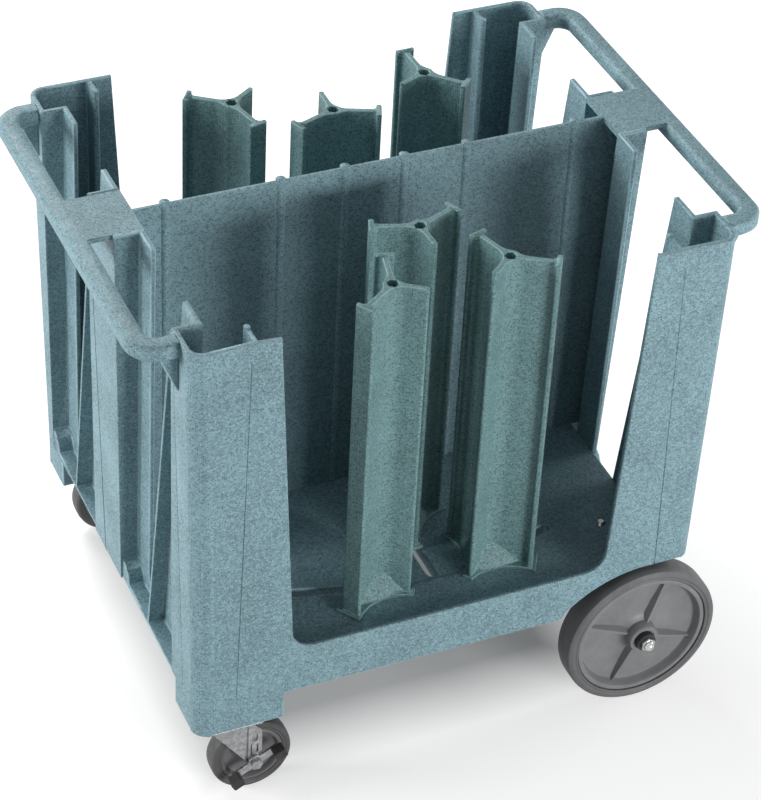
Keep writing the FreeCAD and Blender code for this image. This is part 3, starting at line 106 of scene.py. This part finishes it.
# Collar and domed nut at each end of the axle, outwards from the disc's face, in mm
COLLAR = [(8.3, -1.0), (15.8, -1.0), (15.8, 8.0), (14.6, 9.4), (8.3, 9.4)]
COLLAR_STEPS = 48
DISC_FACE = 28.2
NUT_RADIUS = 12.4
NUT_DEPTH = 6.0
NUT_MIDDLE = 12.2
NUT_ROUND = 0.8
DOME_RADIUS = 9.0
DOME_MIDDLE = 15.0

# Brake strap, from the axle it hangs on, and the border of the pads, in mm
STRAP_MARGIN = 11.0
STRAP_HALF = 10.9
STRAP_BORE = 5.4
STRAP_THICK = 3.0
STRAP_HEAD = ((10.9, 55), (9.5, 62), (-3, 76.5), (-10.9, 76.5))
STRAP_SLOTS = ((-0.5, 48, 9.5, 17), (3.5, 26, 3.2, 17), (-6.2, 24, 2.2, 24))
PAD_BORDER = 2.6
PAD_DEPTH = 1.2

# Camera, lamps and floor
CAMERA_PLACE = (-1.4449, -3.1565, 3.1204)
CAMERA_ANGLES = (25.42, 37.96, 3.31)
CAMERA_LENS = 128.58
CAMERA_SHIFT = (-0.0184, 0.0021)
SENSOR = 36.0
LAMP_TARGET = (0, 0, 0.5)
LAMPS = (("left", (-4.4, 0.8, 1.6), (1.8, 1.4), 150),
         ("front", (1.7, -4.4, 1.0), (1.8, 1.2), 150),
         ("back", (-0.6, 3.4, 3.4), (2.2, 1.8), 150),
         ("right", (4.4, 0.2, 1.6), (1.8, 1.4), 45))
WORLD_LIGHT = 0.2
FLOOR_HALF = 14.0

# Half lengths of the ground under the cart, and the floor's own light: its rise past that ground,
# which leaves a painted shadow under the cart, and its rise with the distance, each from, to,
# first and last strength
UNDER_CART = (("X", 0.40), ("Y", 0.34))
PAINTED_SHADOW_GLOW = (0.6, 0.98, 0.05, 0.6)
FAR_GLOW = (1.4, 4.5, 0.0, 0.45)


# ---------------------------------------------------------------- sizes and colours

def colour(name, description, default):
    """A colour that a user may change."""
    return FloatVectorProperty(name=name, description=description, default=default,
                               subtype="COLOR", size=3, min=0.0, max=1.0)


def length(name, description, default):
    """A length in metres that a user may change."""
    return FloatProperty(name=name, description=description, default=default, min=0.0,
                         unit="LENGTH", subtype="DISTANCE", precision=4)


class PLATECART_colours(bpy.types.PropertyGroup):
    """Colours of the cart's surfaces"""
    body: colour("Body", "Moulded body between its speckles", (0.19, 0.305, 0.345))
    body_speck: colour("Body speckle", "Dark specks in the body", (0.045, 0.075, 0.09))
    tower: colour("Towers", "Moulded towers between their speckles", (0.134, 0.242, 0.25))
    tower_speck: colour("Tower speckle", "Dark specks in the towers", (0.035, 0.06, 0.06))
    wheel: colour("Wheel disc", "Moulded disc of the large wheels", (0.185, 0.188, 0.194))
    tyre: colour("Tyre", "Soft tread of the large wheels", (0.115, 0.117, 0.122))
    caster: colour("Caster disc", "Moulded core of the casters", (0.11, 0.11, 0.115))
    tread: colour("Caster tread", "Soft tread of the casters", (0.06, 0.06, 0.062))
    zinc: colour("Zinc", "Plated steel fittings", (0.33, 0.335, 0.34))
    chrome: colour("Chrome", "Bright nuts and washers", (0.52, 0.525, 0.52))
    black: colour("Black", "Sleeves and pads", (0.012, 0.012, 0.013))
    floor: colour("Floor", "Studio floor", (0.55, 0.55, 0.55))


class PLATECART_sizes(bpy.types.PropertyGroup):
    """Sizes of the surface detail"""
    speck: length("Speckle size", "Typical distance between specks", 0.0025)
    grain: length("Moulding grain", "Typical width of the moulded grain", 0.0016)
    rim: length("Rim round", "Radius of the moulded body's free edges", 0.0022)
    crisp: length("Tower round", "Radius of the towers' free edges", 0.0012)


def colours():
    """The colours of the open scene."""
    return bpy.context.scene.platecart_colours


def sizes():
    """The sizes of the open scene."""
    return bpy.context.scene.platecart_sizes


# ---------------------------------------------------------------- material nodes

class Nodes:
    """Short ways to add and join the nodes of one material."""

    def __init__(self, name):
        self.material = bpy.data.materials.new(name)
        self.material.use_nodes = True
        self.tree = self.material.node_tree
        self.shader = self.tree.nodes["Principled BSDF"]
        coordinates = self.tree.nodes.new("ShaderNodeTexCoord")
        self.place = coordinates.outputs["Object"]

    def add(self, kind, inputs=None, **settings):
        node = self.tree.nodes.new("ShaderNode" + kind)
        for name, value in settings.items():
            setattr(node, name, value)
        for name, value in (inputs or {}).items():
            self.give(node.inputs[name], value)
        return node

    def give(self, socket, value):
        """Link an output to a socket, or set the socket's own value."""
        if isinstance(value, bpy.types.NodeSocket):
            self.tree.links.new(value, socket)
        elif socket.type == "RGBA" and len(value) == 3:
            socket.default_value = (*value, 1.0)
        else:
            socket.default_value = value

    def noise(self, scale, detail=2.0, roughness=0.5, place=None):
        inputs = {"Vector": place or self.place, "Scale": scale, "Detail": detail,
                  "Roughness": roughness}
        return self.add("TexNoise", inputs).outputs["Fac"]

    def cells(self, scale, output="Color"):
        return self.add("TexVoronoi", {"Vector": self.place, "Scale": scale}).outputs[output]

    def ramp(self, value, low, high, start=0.0, end=1.0):
        inputs = {"Value": value, "From Min": low, "From Max": high, "To Min": start,
                  "To Max": end}
        return self.add("MapRange", inputs).outputs["Result"]

    def mix(self, share, first, second, blend="MIX"):
        node = self.add("Mix", {0: share, 6: first, 7: second}, data_type="RGBA",
                        blend_type=blend)
        return node.outputs[2]

    def math(self, operation, first, second):
        return self.add("Math", {0: first, 1: second}, operation=operation).outputs[0]

    def bump(self, height, strength, distance, normal=None):
        inputs = {"Height": height, "Strength": strength, "Distance": distance}
        if normal is not None:
            inputs["Normal"] = normal
        return self.add("Bump", inputs).outputs["Normal"]

    def finish(self, **values):
        """Set the shader's sockets, whose spaces are written as underscores."""
        for name, value in values.items():
            self.give(self.shader.inputs[name.replace("_", " ")], value)
        return self.material


def shade(base, share, lift=0.0):
    """A colour made darker or paler, and never past white."""
    return tuple(min(1.0, c * share + lift) for c in base)


def speckled_plastic(name, base, speck):
    """Rotationally moulded polyethylene: dark and pale specks, satin grain, painted highlights on
    the rounded edges.
    """
    nodes = Nodes(name)
    speck_scale, grain_scale = 1 / sizes().speck, 1 / sizes().grain
    cell = nodes.add("SeparateColor", {"Color": nodes.cells(speck_scale)}).outputs
    near = nodes.ramp(nodes.cells(speck_scale, "Distance"), 0.60, 0.30)
    dark_cells = nodes.ramp(cell["Red"], 0.56, 0.66)
    mottle = nodes.ramp(nodes.noise(11.0, 4.0), 0.3, 0.7)
    fleck = nodes.ramp(nodes.noise(0.5 * speck_scale, 2.0, 0.7), 0.36, 0.64)
    clouds = nodes.math("MULTIPLY", nodes.math("ADD", mottle, fleck), 0.5)
    ground = nodes.mix(clouds, shade(base, 0.76), shade(base, 1.26))
    dark_share = nodes.math("MULTIPLY", nodes.math("MULTIPLY", near, dark_cells), 0.8)
    pale_share = nodes.math("MULTIPLY", near, nodes.ramp(cell["Green"], 0.4, 1.0, 0.0, 0.85))
    tinted = nodes.mix(pale_share, ground, shade(base, 1.75, 0.01))
    tinted = nodes.mix(dark_share, tinted, speck)
    # Painted highlight: the rounded edges are mixed towards a much paler colour, in patches set
    # by noise
    edge = nodes.add("Attribute", attribute_name=PAINTED_HIGHLIGHT_LAYER).outputs["Fac"]
    highlight_strength = nodes.ramp(nodes.noise(34.0, 3.0), 0.3, 0.7, 0.3, 0.8)
    painted_highlight = nodes.math("MULTIPLY", edge, highlight_strength)
    tinted = nodes.mix(painted_highlight, tinted, shade(base, 1.7, 0.05))
    grain = nodes.noise(grain_scale, 3.0, 0.6)
    rough = nodes.ramp(nodes.noise(40.0, 3.0), 0.3, 0.7, 0.5, 0.62)
    waves = nodes.bump(nodes.noise(9.0, 1.0), 0.12, 0.0025)
    normal = nodes.bump(grain, 0.28, 0.0003, waves)
    return nodes.finish(Base_Color=tinted, Roughness=rough, Normal=normal,
                        Specular_IOR_Level=0.32)


def moulded_grey(name, base, rough_low, rough_high, grain=0.2):
    """Plain moulded plastic or soft tread with faint cloudiness and dust."""
    nodes = Nodes(name)
    cloud = nodes.ramp(nodes.noise(30.0, 5.0, 0.6), 0.3, 0.7)
    dust = nodes.ramp(nodes.noise(160.0, 4.0, 0.7), 0.55, 0.8, 0.0, 0.25)
    ground = nodes.mix(cloud, shade(base, 0.86), shade(base, 1.12))
    ground = nodes.mix(dust, ground, shade(base, 1.6, 0.01))
    rough = nodes.ramp(nodes.noise(70.0, 3.0), 0.3, 0.7, rough_low, rough_high)
    normal = nodes.bump(nodes.noise(900.0, 3.0), grain, 0.0002)
    return nodes.finish(Base_Color=ground, Roughness=rough, Normal=normal)


def plated_steel(name, base, rough_low, rough_high):
    """Zinc or chrome plating with a fine drawn grain and slight spangle."""
    nodes = Nodes(name)
    stretch = nodes.add("Mapping", {"Vector": nodes.place, "Scale": (1.0, 1.0, 12.0)})
    drawn = nodes.noise(260.0, 4.0, 0.6, stretch.outputs["Vector"])
    spangle = nodes.add("SeparateColor", {"Color": nodes.cells(240.0)}).outputs["Blue"]
    tone = nodes.math("ADD", nodes.math("MULTIPLY", drawn, 0.6),
                      nodes.math("MULTIPLY", spangle, 0.4))
    ground = nodes.mix(nodes.ramp(tone, 0.2, 0.8), shade(base, 0.7), shade(base, 1.3))
    rough = nodes.ramp(tone, 0.25, 0.75, rough_low, rough_high)
    normal = nodes.bump(drawn, 0.08, 0.0002)
    return nodes.finish(Base_Color=ground, Roughness=rough, Metallic=1.0, Normal=normal)


FINISHES = {}


def finish_for(slot):
    """The material of a record slot, made once and kept in FINISHES."""
    tint = colours()
    makers = {
        "moulded_body": lambda n: speckled_plastic(n, tuple(tint.body), tuple(tint.body_speck)),
        "moulded_tower": lambda n: speckled_plastic(n, tuple(tint.tower),
                                                    tuple(tint.tower_speck)),
        "zinc_fittings": lambda n: plated_steel(n, tuple(tint.zinc), 0.24, 0.42),
        "bright_fittings": lambda n: plated_steel(n, tuple(tint.chrome), 0.10, 0.22),
        "black_plastic": lambda n: moulded_grey(n, tuple(tint.black), 0.38, 0.5),
        "wheel_disc": lambda n: moulded_grey(n, tuple(tint.wheel), 0.42, 0.58),
        "grey_tyre": lambda n: moulded_grey(n, tuple(tint.tyre), 0.55, 0.72, 0.35),
        "caster_disc": lambda n: moulded_grey(n, tuple(tint.caster), 0.4, 0.55),
        "caster_tread": lambda n: moulded_grey(n, tuple(tint.tread), 0.5, 0.7, 0.35),
        "pad_rubber": lambda n: moulded_grey(n, tuple(tint.black), 0.55, 0.7, 0.4),
    }
    if slot not in FINISHES:
        FINISHES[slot] = makers[slot](slot)
    return FINISHES[slot]


def slots_of_nodes():
    """The material slot of every node of the frame."""
    return {part["node"]: part["material_slot"] for part in FRAME["record"]["subparts"]}


def smooth_by_angle(piece, degrees):
    """Smooth shading that keeps the creases sharper than this angle."""
    mesh = piece.data
    for face in mesh.polygons:
        face.use_smooth = True
    mesh.set_sharp_from_angle(angle=math.radians(degrees))


# ---------------------------------------------------------------- moulded pieces

MOULDED = ("moulded_body", "moulded_tower")


def body_of_node(node):
    """The moving body that carries a node of the frame."""
    bodies = FRAME["record"]["behaviour"]["bodies"]
    return next(body for body, carried in bodies.items() if node in carried)


def merged_form(node):
    """A node's mesh with its doubled points merged and its flat triangles paired up."""
    form = bmesh.new()
    form.from_mesh(NODES[node].data)
    bmesh.ops.remove_doubles(form, verts=form.verts, dist=SAME_POINT)
    bmesh.ops.dissolve_degenerate(form, dist=NO_LENGTH, edges=form.edges)
    bmesh.ops.join_triangles(form, faces=form.faces, angle_face_threshold=math.radians(FLAT_BEND),
                             angle_shape_threshold=math.radians(WIDE_CORNER))
    return form


def neighbours(node, slot):
    """Search trees of the other nodes of the same moulding."""
    trees = []
    for other, other_slot in slots_of_nodes().items():
        if other != node and other_slot == slot and body_of_node(other) == body_of_node(node):
            mesh = NODES[other].data
            points = [vertex.co for vertex in mesh.vertices]
            trees.append(BVHTree.FromPolygons(points, [face.vertices for face in mesh.polygons]))
    return trees


def touches(edge, trees):
    """Whether the middle of an edge lies on another node of the moulding."""
    middle = (edge.verts[0].co + edge.verts[1].co) / 2
    return any(tree.find_nearest(middle, TOUCH_REACH)[0] is not None for tree in trees)


def width_of(face):
    """About how wide a face is across its longest edge."""
    return face.calc_area() / max(edge.calc_length() for edge in face.edges)


def round_edges(form, radius, trees=()):
    """Round the free sharp edges, mark the rounds for a painted highlight and pull stray points
    back.
    """
    least = math.radians(LEAST_SHARP)
    sharp = [edge for edge in form.edges if len(edge.link_faces) == 2
             and edge.calc_face_angle(0.0) > least and not touches(edge, trees)
             and min(width_of(face) for face in edge.link_faces) > NARROW_SHARE * radius]
    old_surface = BVHTree.FromBMesh(form)
    painted_highlight = form.faces.layers.float.new(PAINTED_HIGHLIGHT_LAYER)
    made = bmesh.ops.bevel(form, geom=sharp, offset=radius, segments=ROUND_SEGMENTS, profile=0.5,
                           affect="EDGES", material=-1)
    # The rounds get the mark that the mouldings' surface paints as a highlight
    for face in made["faces"]:
        face[painted_highlight] = 1.0
    for point in form.verts:
        nearest, _, _, distance = old_surface.find_nearest(point.co)
        if distance > radius:
            point.co = nearest


def add_piece(name, form, body, slot, replaced=(), crease=CREASE):
    """Make an object of a form, give it its surface and join it to the frame."""
    bmesh.ops.recalc_face_normals(form, faces=form.faces)
    mesh = bpy.data.meshes.new(name)
    form.to_mesh(mesh)
    form.free()
    piece = bpy.data.objects.new(name, mesh)
    bpy.context.collection.objects.link(piece)
    mesh.materials.append(finish_for(slot))
    smooth_by_angle(piece, crease)
    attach(piece, body)
    if replaced:
        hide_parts(*replaced)
    return piece


def clear_of_deck(form, level):
    """Lift a tower's underside by a hair, so that it slides over the deck without touching."""
    for point in form.verts:
        point.co.z = max(point.co.z, level + DECK_GAP)


def rounded_moulding(node, slot):
    """A moulded node of the frame with its free edges rounded and marked for a painted highlight.
    """
    radius = sizes().rim if slot == "moulded_body" else sizes().crisp
    form = merged_form(node)
    round_edges(form, radius, neighbours(node, slot))
    if slot == "moulded_tower":
        clear_of_deck(form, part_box(node)[0][2])
    piece = add_piece(node + "_moulding", form, body_of_node(node), slot, (node,),
                      MOULDED_CREASE)
    keep_flats_flat(piece)


def keep_flats_flat(piece):
    """Let the large faces set the shading, so that only the rounds between them curve."""
    weighted = piece.modifiers.new("flat_faces", "WEIGHTED_NORMAL")
    weighted.mode = "FACE_AREA"
    weighted.keep_sharp = True


def rounded_fitting(node, slot):
    """A steel fitting of the frame with its stamped edges eased."""
    form = merged_form(node)
    round_edges(form, FITTING_ROUND)
    piece = add_piece(node + "_eased", form, body_of_node(node), slot, (node,), FITTING_CREASE)
    keep_flats_flat(piece)


# ---------------------------------------------------------------- wheels and casters

def joint_place(name):
    """The point that a joint of the record turns about."""
    joints = FRAME["record"]["behaviour"]["joints"]
    return tuple(next(joint for joint in joints if joint["name"] == name)["pos_m"])


def lathe(form, centre, outline, steps):
    """Turn a closed outline of (radius, reach along Y) about the Y axis through a centre."""
    x, y, z = centre
    points = [form.verts.new((x + radius * MM, y + reach * MM, z)) for radius, reach in outline]
    edges = [form.edges.new(pair) for pair in zip(points, points[1:] + points[:1])]
    bmesh.ops.spin(form, geom=points + edges, cent=centre, axis=(0, 1, 0), angle=math.tau,
                   steps=steps, use_merge=True)
    bmesh.ops.remove_doubles(form, verts=form.verts, dist=NO_LENGTH)


def both_sides(half):
    """Close a half outline, given from the bore outwards on one side, with its mirror image."""
    return half + [(radius, -reach) for radius, reach in reversed(half)]


def turned_piece(name, centre, outline, body, slot, replaced, steps):
    """A piece that is one closed outline turned about the Y axis."""
    form = bmesh.new()
    lathe(form, centre, outline, steps)
    add_piece(name, form, body, slot, replaced)


def loft_rib(form, centre, angle, side):
    """One tapering rib of a wheel disc, from its boss out to its rim."""
    ahead = Vector((math.cos(angle), 0, math.sin(angle)))
    across = Vector((-math.sin(angle), 0, math.cos(angle)))
    rings = []
    for reach, half, top, low, high in RIB_RINGS:
        ring = [ahead * reach + across * wide + Vector((0, side * level, 0))
                for wide, level in ((-half, low), (-top, high), (top, high), (half, low))]
        rings.append([form.verts.new(Vector(centre) + point * MM) for point in ring])
    for inner, outer in zip(rings, rings[1:]):
        for place in range(4):
            after = (place + 1) % 4
            form.faces.new((inner[place], inner[after], outer[after], outer[place]))
    form.faces.new(rings[0])
    form.faces.new(rings[-1])


def large_wheel(end, sign):
    """Soft tread, ribbed disc, black collar and bright domed nut of one large wheel."""
    body = "wheel_" + end
    centre = joint_place(body + "_spin")
    turned_piece(body + "_tread", centre, both_sides(WHEEL_TREAD), body, "grey_tyre",
                 ("wheel_tyre_" + end,), WHEEL_STEPS)
    form = bmesh.new()
    lathe(form, centre, both_sides(WHEEL_DISC), WHEEL_STEPS)
    for side in (-1, 1):
        for rib in range(RIBS):
            loft_rib(form, centre, math.radians(RIB_START + 360 // RIBS * rib), side)
    add_piece(body + "_disc", form, body, "wheel_disc", ("wheel_hub_" + end,), DISC_CREASE)
    x, y, z = centre
    face = y + sign * DISC_FACE * MM
    collar = [(radius, sign * reach) for radius, reach in COLLAR]
    turned_piece("axle_collar_" + end, (x, face, z), collar, "cart", "black_plastic",
                 ("wheel_washer_" + end,), COLLAR_STEPS)
    end_nut(end, (x, face, z), sign)


def end_nut(end, foot, sign):
    """Hexagonal nut with a domed cap, outwards from the foot point on the axle."""
    x, face, z = foot
    form = bmesh.new()
    nut = bmesh.ops.create_cone(form, cap_ends=True, segments=6, radius1=NUT_RADIUS * MM,
                                radius2=NUT_RADIUS * MM, depth=NUT_DEPTH * MM)
    turn = Matrix.Rotation(math.radians(90), 4, "X")
    place = Matrix.Translation((x, face + sign * NUT_MIDDLE * MM, z))
    bmesh.ops.transform(form, matrix=place @ turn, verts=nut["verts"])
    bmesh.ops.bevel(form, geom=form.edges[:], offset=NUT_ROUND * MM, segments=2, profile=0.5,
                    affect="EDGES", material=-1)
    dome = bmesh.ops.create_uvsphere(form, u_segments=24, v_segments=12, radius=DOME_RADIUS * MM)
    place = Matrix.Translation((x, face + sign * DOME_MIDDLE * MM, z))
    bmesh.ops.transform(form, matrix=place, verts=dome["verts"])
    add_piece("axle_end_nut_" + end, form, "cart", "bright_fittings", ("cap_nut_" + end,),
              FITTING_CREASE)


def caster_wheel(end):
    """Dished core and rounded tread of one caster wheel."""
    body = "caster_wheel_" + end
    centre = joint_place("caster_" + end + "_spin")
    turned_piece(body + "_tread", centre, both_sides(CASTER_TREAD), body, "caster_tread",
                 ("caster_tyre_" + end,), CASTER_STEPS)
    turned_piece(body + "_core", centre, both_sides(CASTER_CORE), body, "caster_disc",
                 ("caster_core_" + end,), CASTER_STEPS)


def arc_points(x, z, radius, start, turn, count):
    """Points of an arc about a centre, the first at an angle and the next a turn further."""
    angles = [math.radians(start + turn * step) for step in range(count)]
    return [(x + radius * math.cos(angle), z + radius * math.sin(angle)) for angle in angles]


def slot_points(x, z, wide, high, steps=6):
    """Outline of an upright slot with round ends."""
    radius, straight = wide / 2, (high - wide) / 2
    return (arc_points(x, z + straight, radius, 0, 180 / steps, steps + 1)
            + arc_points(x, z - straight, radius, 180, 180 / steps, steps + 1))


def stamped_plate(form, outlines, back, front):
    """Plate parallel to XZ between two Y levels; the outlines after the first are holes."""
    edges = []
    for outline in outlines:
        points = [form.verts.new((x * MM, back * MM, z * MM)) for x, z in outline]
        edges += [form.edges.new(pair) for pair in zip(points, points[1:] + points[:1])]
    bmesh.ops.triangle_fill(form, edges=edges, use_beauty=True, use_dissolve=False)
    grown = bmesh.ops.extrude_face_region(form, geom=form.faces[:])
    moved = [part for part in grown["geom"] if isinstance(part, bmesh.types.BMVert)]
    bmesh.ops.translate(form, verts=moved, vec=(0, (front - back) * MM, 0))


def brake_strap():
    """Strap outside the braked caster's fork, with its slots and its round foot on the axle."""
    low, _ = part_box("brake_strap")
    x, z = low[0] / MM + STRAP_MARGIN, low[2] / MM + STRAP_MARGIN
    back = low[1] / MM
    foot = arc_points(x, z, STRAP_HALF, 180, 15, 13)
    head = [(x + across, z + above) for across, above in STRAP_HEAD]
    bore = arc_points(x, z, STRAP_BORE, 0, 22.5, 16)
    slots = [slot_points(x + across, z + above, wide, high)
             for across, above, wide, high in STRAP_SLOTS]
    form = bmesh.new()
    stamped_plate(form, [foot + head, bore] + slots, back, back + STRAP_THICK)
    add_piece("brake_strap_stamped", form, "caster_swivel_front", "zinc_fittings",
              ("brake_strap",), FITTING_CREASE)


def brake_pad(node):
    """Rubber pad with a raised border round its tread."""
    form = merged_form(node)
    face = max(form.faces, key=lambda each: -each.normal.y * each.calc_area())
    bmesh.ops.inset_region(form, faces=[face], thickness=PAD_BORDER * MM, depth=-PAD_DEPTH * MM)
    add_piece(node + "_tread", form, "brake", "pad_rubber", (node,), PAD_CREASE)


# ---------------------------------------------------------------- stage

def camera_turn():
    """Rotation of the camera that looks down on the near left corner of the cart."""
    yaw, pitch, roll = (math.radians(angle) for angle in CAMERA_ANGLES)
    ahead = Vector((math.sin(yaw) * math.cos(pitch), math.cos(yaw) * math.cos(pitch),
                    -math.sin(pitch)))
    level = Vector((math.cos(yaw), -math.sin(yaw), 0.0))
    above = level.cross(ahead)
    right = level * math.cos(roll) + above * math.sin(roll)
    up = above * math.cos(roll) - level * math.sin(roll)
    return Matrix((right, up, -ahead)).transposed()


def add_camera():
    """The camera of the scene, at the photograph's viewing angle."""
    data = bpy.data.cameras.new("camera")
    data.sensor_fit = "VERTICAL"
    data.sensor_height = SENSOR
    data.lens = CAMERA_LENS
    data.shift_x, data.shift_y = CAMERA_SHIFT
    data.clip_start = 0.05
    data.clip_end = 60.0
    camera = bpy.data.objects.new("camera", data)
    place = Matrix.Translation(CAMERA_PLACE)
    camera.matrix_world = place @ camera_turn().to_4x4()
    bpy.context.collection.objects.link(camera)
    bpy.context.scene.camera = camera


def add_lamp(name, place, width, power):
    """A soft white lamp that faces the cart."""
    data = bpy.data.lights.new(name, "AREA")
    data.shape = "RECTANGLE"
    data.size, data.size_y = width
    data.energy = power
    lamp = bpy.data.objects.new(name, data)
    aim = (Vector(LAMP_TARGET) - Vector(place)).to_track_quat("-Z", "Y")
    lamp.matrix_world = Matrix.Translation(place) @ aim.to_matrix().to_4x4()
    bpy.context.collection.objects.link(lamp)


def seen_rays(tree):
    """1 for rays that the camera sends straight, off a mirror or through glass."""
    path = tree.nodes.new("ShaderNodeLightPath").outputs
    total = path["Is Camera Ray"]
    for name in ("Is Glossy Ray", "Is Transmission Ray"):
        either = tree.nodes.new("ShaderNodeMath")
        either.operation = "MAXIMUM"
        tree.links.new(total, either.inputs[0])
        tree.links.new(path[name], either.inputs[1])
        total = either.outputs[0]
    return total


def add_floor():
    """Floor that looks nearly white, but darker under the cart as a painted shadow, and takes the
    cart's shadow.
    """
    mesh = bpy.data.meshes.new("floor")
    form = bmesh.new()
    bmesh.ops.create_grid(form, x_segments=1, y_segments=1, size=FLOOR_HALF)
    form.to_mesh(mesh)
    form.free()
    floor = bpy.data.objects.new("floor", mesh)
    bpy.context.collection.objects.link(floor)
    nodes = Nodes("studio_floor")
    nodes.finish(Base_Color=tuple(colours().floor), Roughness=0.9, Specular_IOR_Level=0.1)
    tree = nodes.tree
    away = nodes.add("VectorMath", {0: nodes.place}, operation="LENGTH").outputs["Value"]
    spot = nodes.add("SeparateXYZ", {"Vector": nodes.place}).outputs
    shares = [nodes.math("MULTIPLY", nodes.math("ABSOLUTE", spot[letter], 0.0), 1 / half)
              for letter, half in UNDER_CART]
    # Painted shadow: the floor's glow falls nearly to nothing on the ground under the cart
    near = nodes.ramp(nodes.math("MAXIMUM", *shares), *PAINTED_SHADOW_GLOW)
    far = nodes.ramp(away, *FAR_GLOW)
    glow = nodes.add("Emission", {"Strength": nodes.math("ADD", near, far)})
    both = tree.nodes.new("ShaderNodeAddShader")
    tree.links.new(nodes.shader.outputs[0], both.inputs[0])
    tree.links.new(glow.outputs[0], both.inputs[1])
    mixed = tree.nodes.new("ShaderNodeMixShader")
    tree.links.new(seen_rays(tree), mixed.inputs[0])
    tree.links.new(nodes.shader.outputs[0], mixed.inputs[1])
    tree.links.new(both.outputs[0], mixed.inputs[2])
    tree.links.new(mixed.outputs[0], tree.nodes["Material Output"].inputs["Surface"])
    mesh.materials.append(nodes.material)


def light_world():
    """Dim white light from all round, seen as plain white."""
    world = bpy.data.worlds.new("studio")
    bpy.context.scene.world = world
    world.use_nodes = True
    tree = world.node_tree
    ground = tree.nodes["Background"]
    ground.inputs["Color"].default_value = (1.0, 1.0, 1.0, 1.0)
    ground.inputs["Strength"].default_value = WORLD_LIGHT
    seen = tree.nodes.new("ShaderNodeBackground")
    seen.inputs["Color"].default_value = (1.0, 1.0, 1.0, 1.0)
    seen.inputs["Strength"].default_value = 1.0
    mixed = tree.nodes.new("ShaderNodeMixShader")
    tree.links.new(seen_rays(tree), mixed.inputs[0])
    tree.links.new(ground.outputs[0], mixed.inputs[1])
    tree.links.new(seen.outputs[0], mixed.inputs[2])
    tree.links.new(mixed.outputs[0], tree.nodes["World Output"].inputs["Surface"])


class PLATECART_OT_stage(bpy.types.Operator):
    """Add the floor, lamps, world and camera"""
    bl_idname = "platecart.stage"
    bl_label = "Stage"

    def execute(self, context):
        context.scene.view_settings.view_transform = "Standard"
        add_camera()
        add_floor()
        light_world()
        for lamp in LAMPS:
            add_lamp(*lamp)
        return {"FINISHED"}


class PLATECART_OT_finishes(bpy.types.Operator):
    """Give every carried-over piece of the frame its surface"""
    bl_idname = "platecart.finishes"
    bl_label = "Surfaces"

    def execute(self, context):
        for node, slot in slots_of_nodes().items():
            piece = NODES[node]
            piece.data.materials.clear()
            piece.data.materials.append(finish_for(slot))
        return {"FINISHED"}


class PLATECART_OT_mouldings(bpy.types.Operator):
    """Add the moulded body and towers with rounded edges that carry a painted highlight"""
    bl_idname = "platecart.mouldings"
    bl_label = "Mouldings"

    def execute(self, context):
        for node, slot in slots_of_nodes().items():
            if slot in MOULDED:
                rounded_moulding(node, slot)
        return {"FINISHED"}


class PLATECART_OT_wheels(bpy.types.Operator):
    """Add the large wheels with their end fittings and the caster wheels"""
    bl_idname = "platecart.wheels"
    bl_label = "Wheels"

    def execute(self, context):
        for end, sign in (("front", -1), ("rear", 1)):
            large_wheel(end, sign)
            caster_wheel(end)
        return {"FINISHED"}


class PLATECART_OT_fittings(bpy.types.Operator):
    """Add the caster forks and plates, axle brackets and brake with their stamped detail"""
    bl_idname = "platecart.fittings"
    bl_label = "Fittings"

    def execute(self, context):
        for node, slot in slots_of_nodes().items():
            if node.startswith(("caster_fork", "caster_plate", "axle_bracket", "brake_pedal")):
                rounded_fitting(node, slot)
        brake_strap()
        for node in ("brake_pad_low", "brake_pad_high"):
            brake_pad(node)
        return {"FINISHED"}


class PLATECART_PT_panel(bpy.types.Panel):
    """Sidebar list of the cart's pieces, sizes and colours"""
    bl_label = "Plate Cart"
    bl_idname = "PLATECART_PT_panel"
    bl_space_type = "VIEW_3D"
    bl_region_type = "UI"
    bl_category = "Plate Cart"

    def draw(self, context):
        layout = self.layout
        for operator in OPERATORS:
            layout.operator(operator.bl_idname)
        for group in (sizes(), colours()):
            box = layout.box()
            for name in group.__annotations__:
                box.prop(group, name)


OPERATORS = (PLATECART_OT_stage, PLATECART_OT_finishes, PLATECART_OT_mouldings,
             PLATECART_OT_wheels, PLATECART_OT_fittings)
CLASSES = (PLATECART_colours, PLATECART_sizes) + OPERATORS + (PLATECART_PT_panel,)


def register():
    """Add the classes and the scene's two groups of values."""
    for each in CLASSES:
        bpy.utils.register_class(each)
    bpy.types.Scene.platecart_colours = PointerProperty(type=PLATECART_colours)
    bpy.types.Scene.platecart_sizes = PointerProperty(type=PLATECART_sizes)


def unregister():
    """Take them away again."""
    del bpy.types.Scene.platecart_sizes
    del bpy.types.Scene.platecart_colours
    for each in reversed(CLASSES):
        bpy.utils.unregister_class(each)


def main():
    """Build the whole scene in order."""
    register()
    bpy.ops.platecart.stage()
    bpy.ops.platecart.finishes()
    bpy.ops.platecart.mouldings()
    bpy.ops.platecart.wheels()
    bpy.ops.platecart.fittings()


if __name__ == "__main__":
    main()
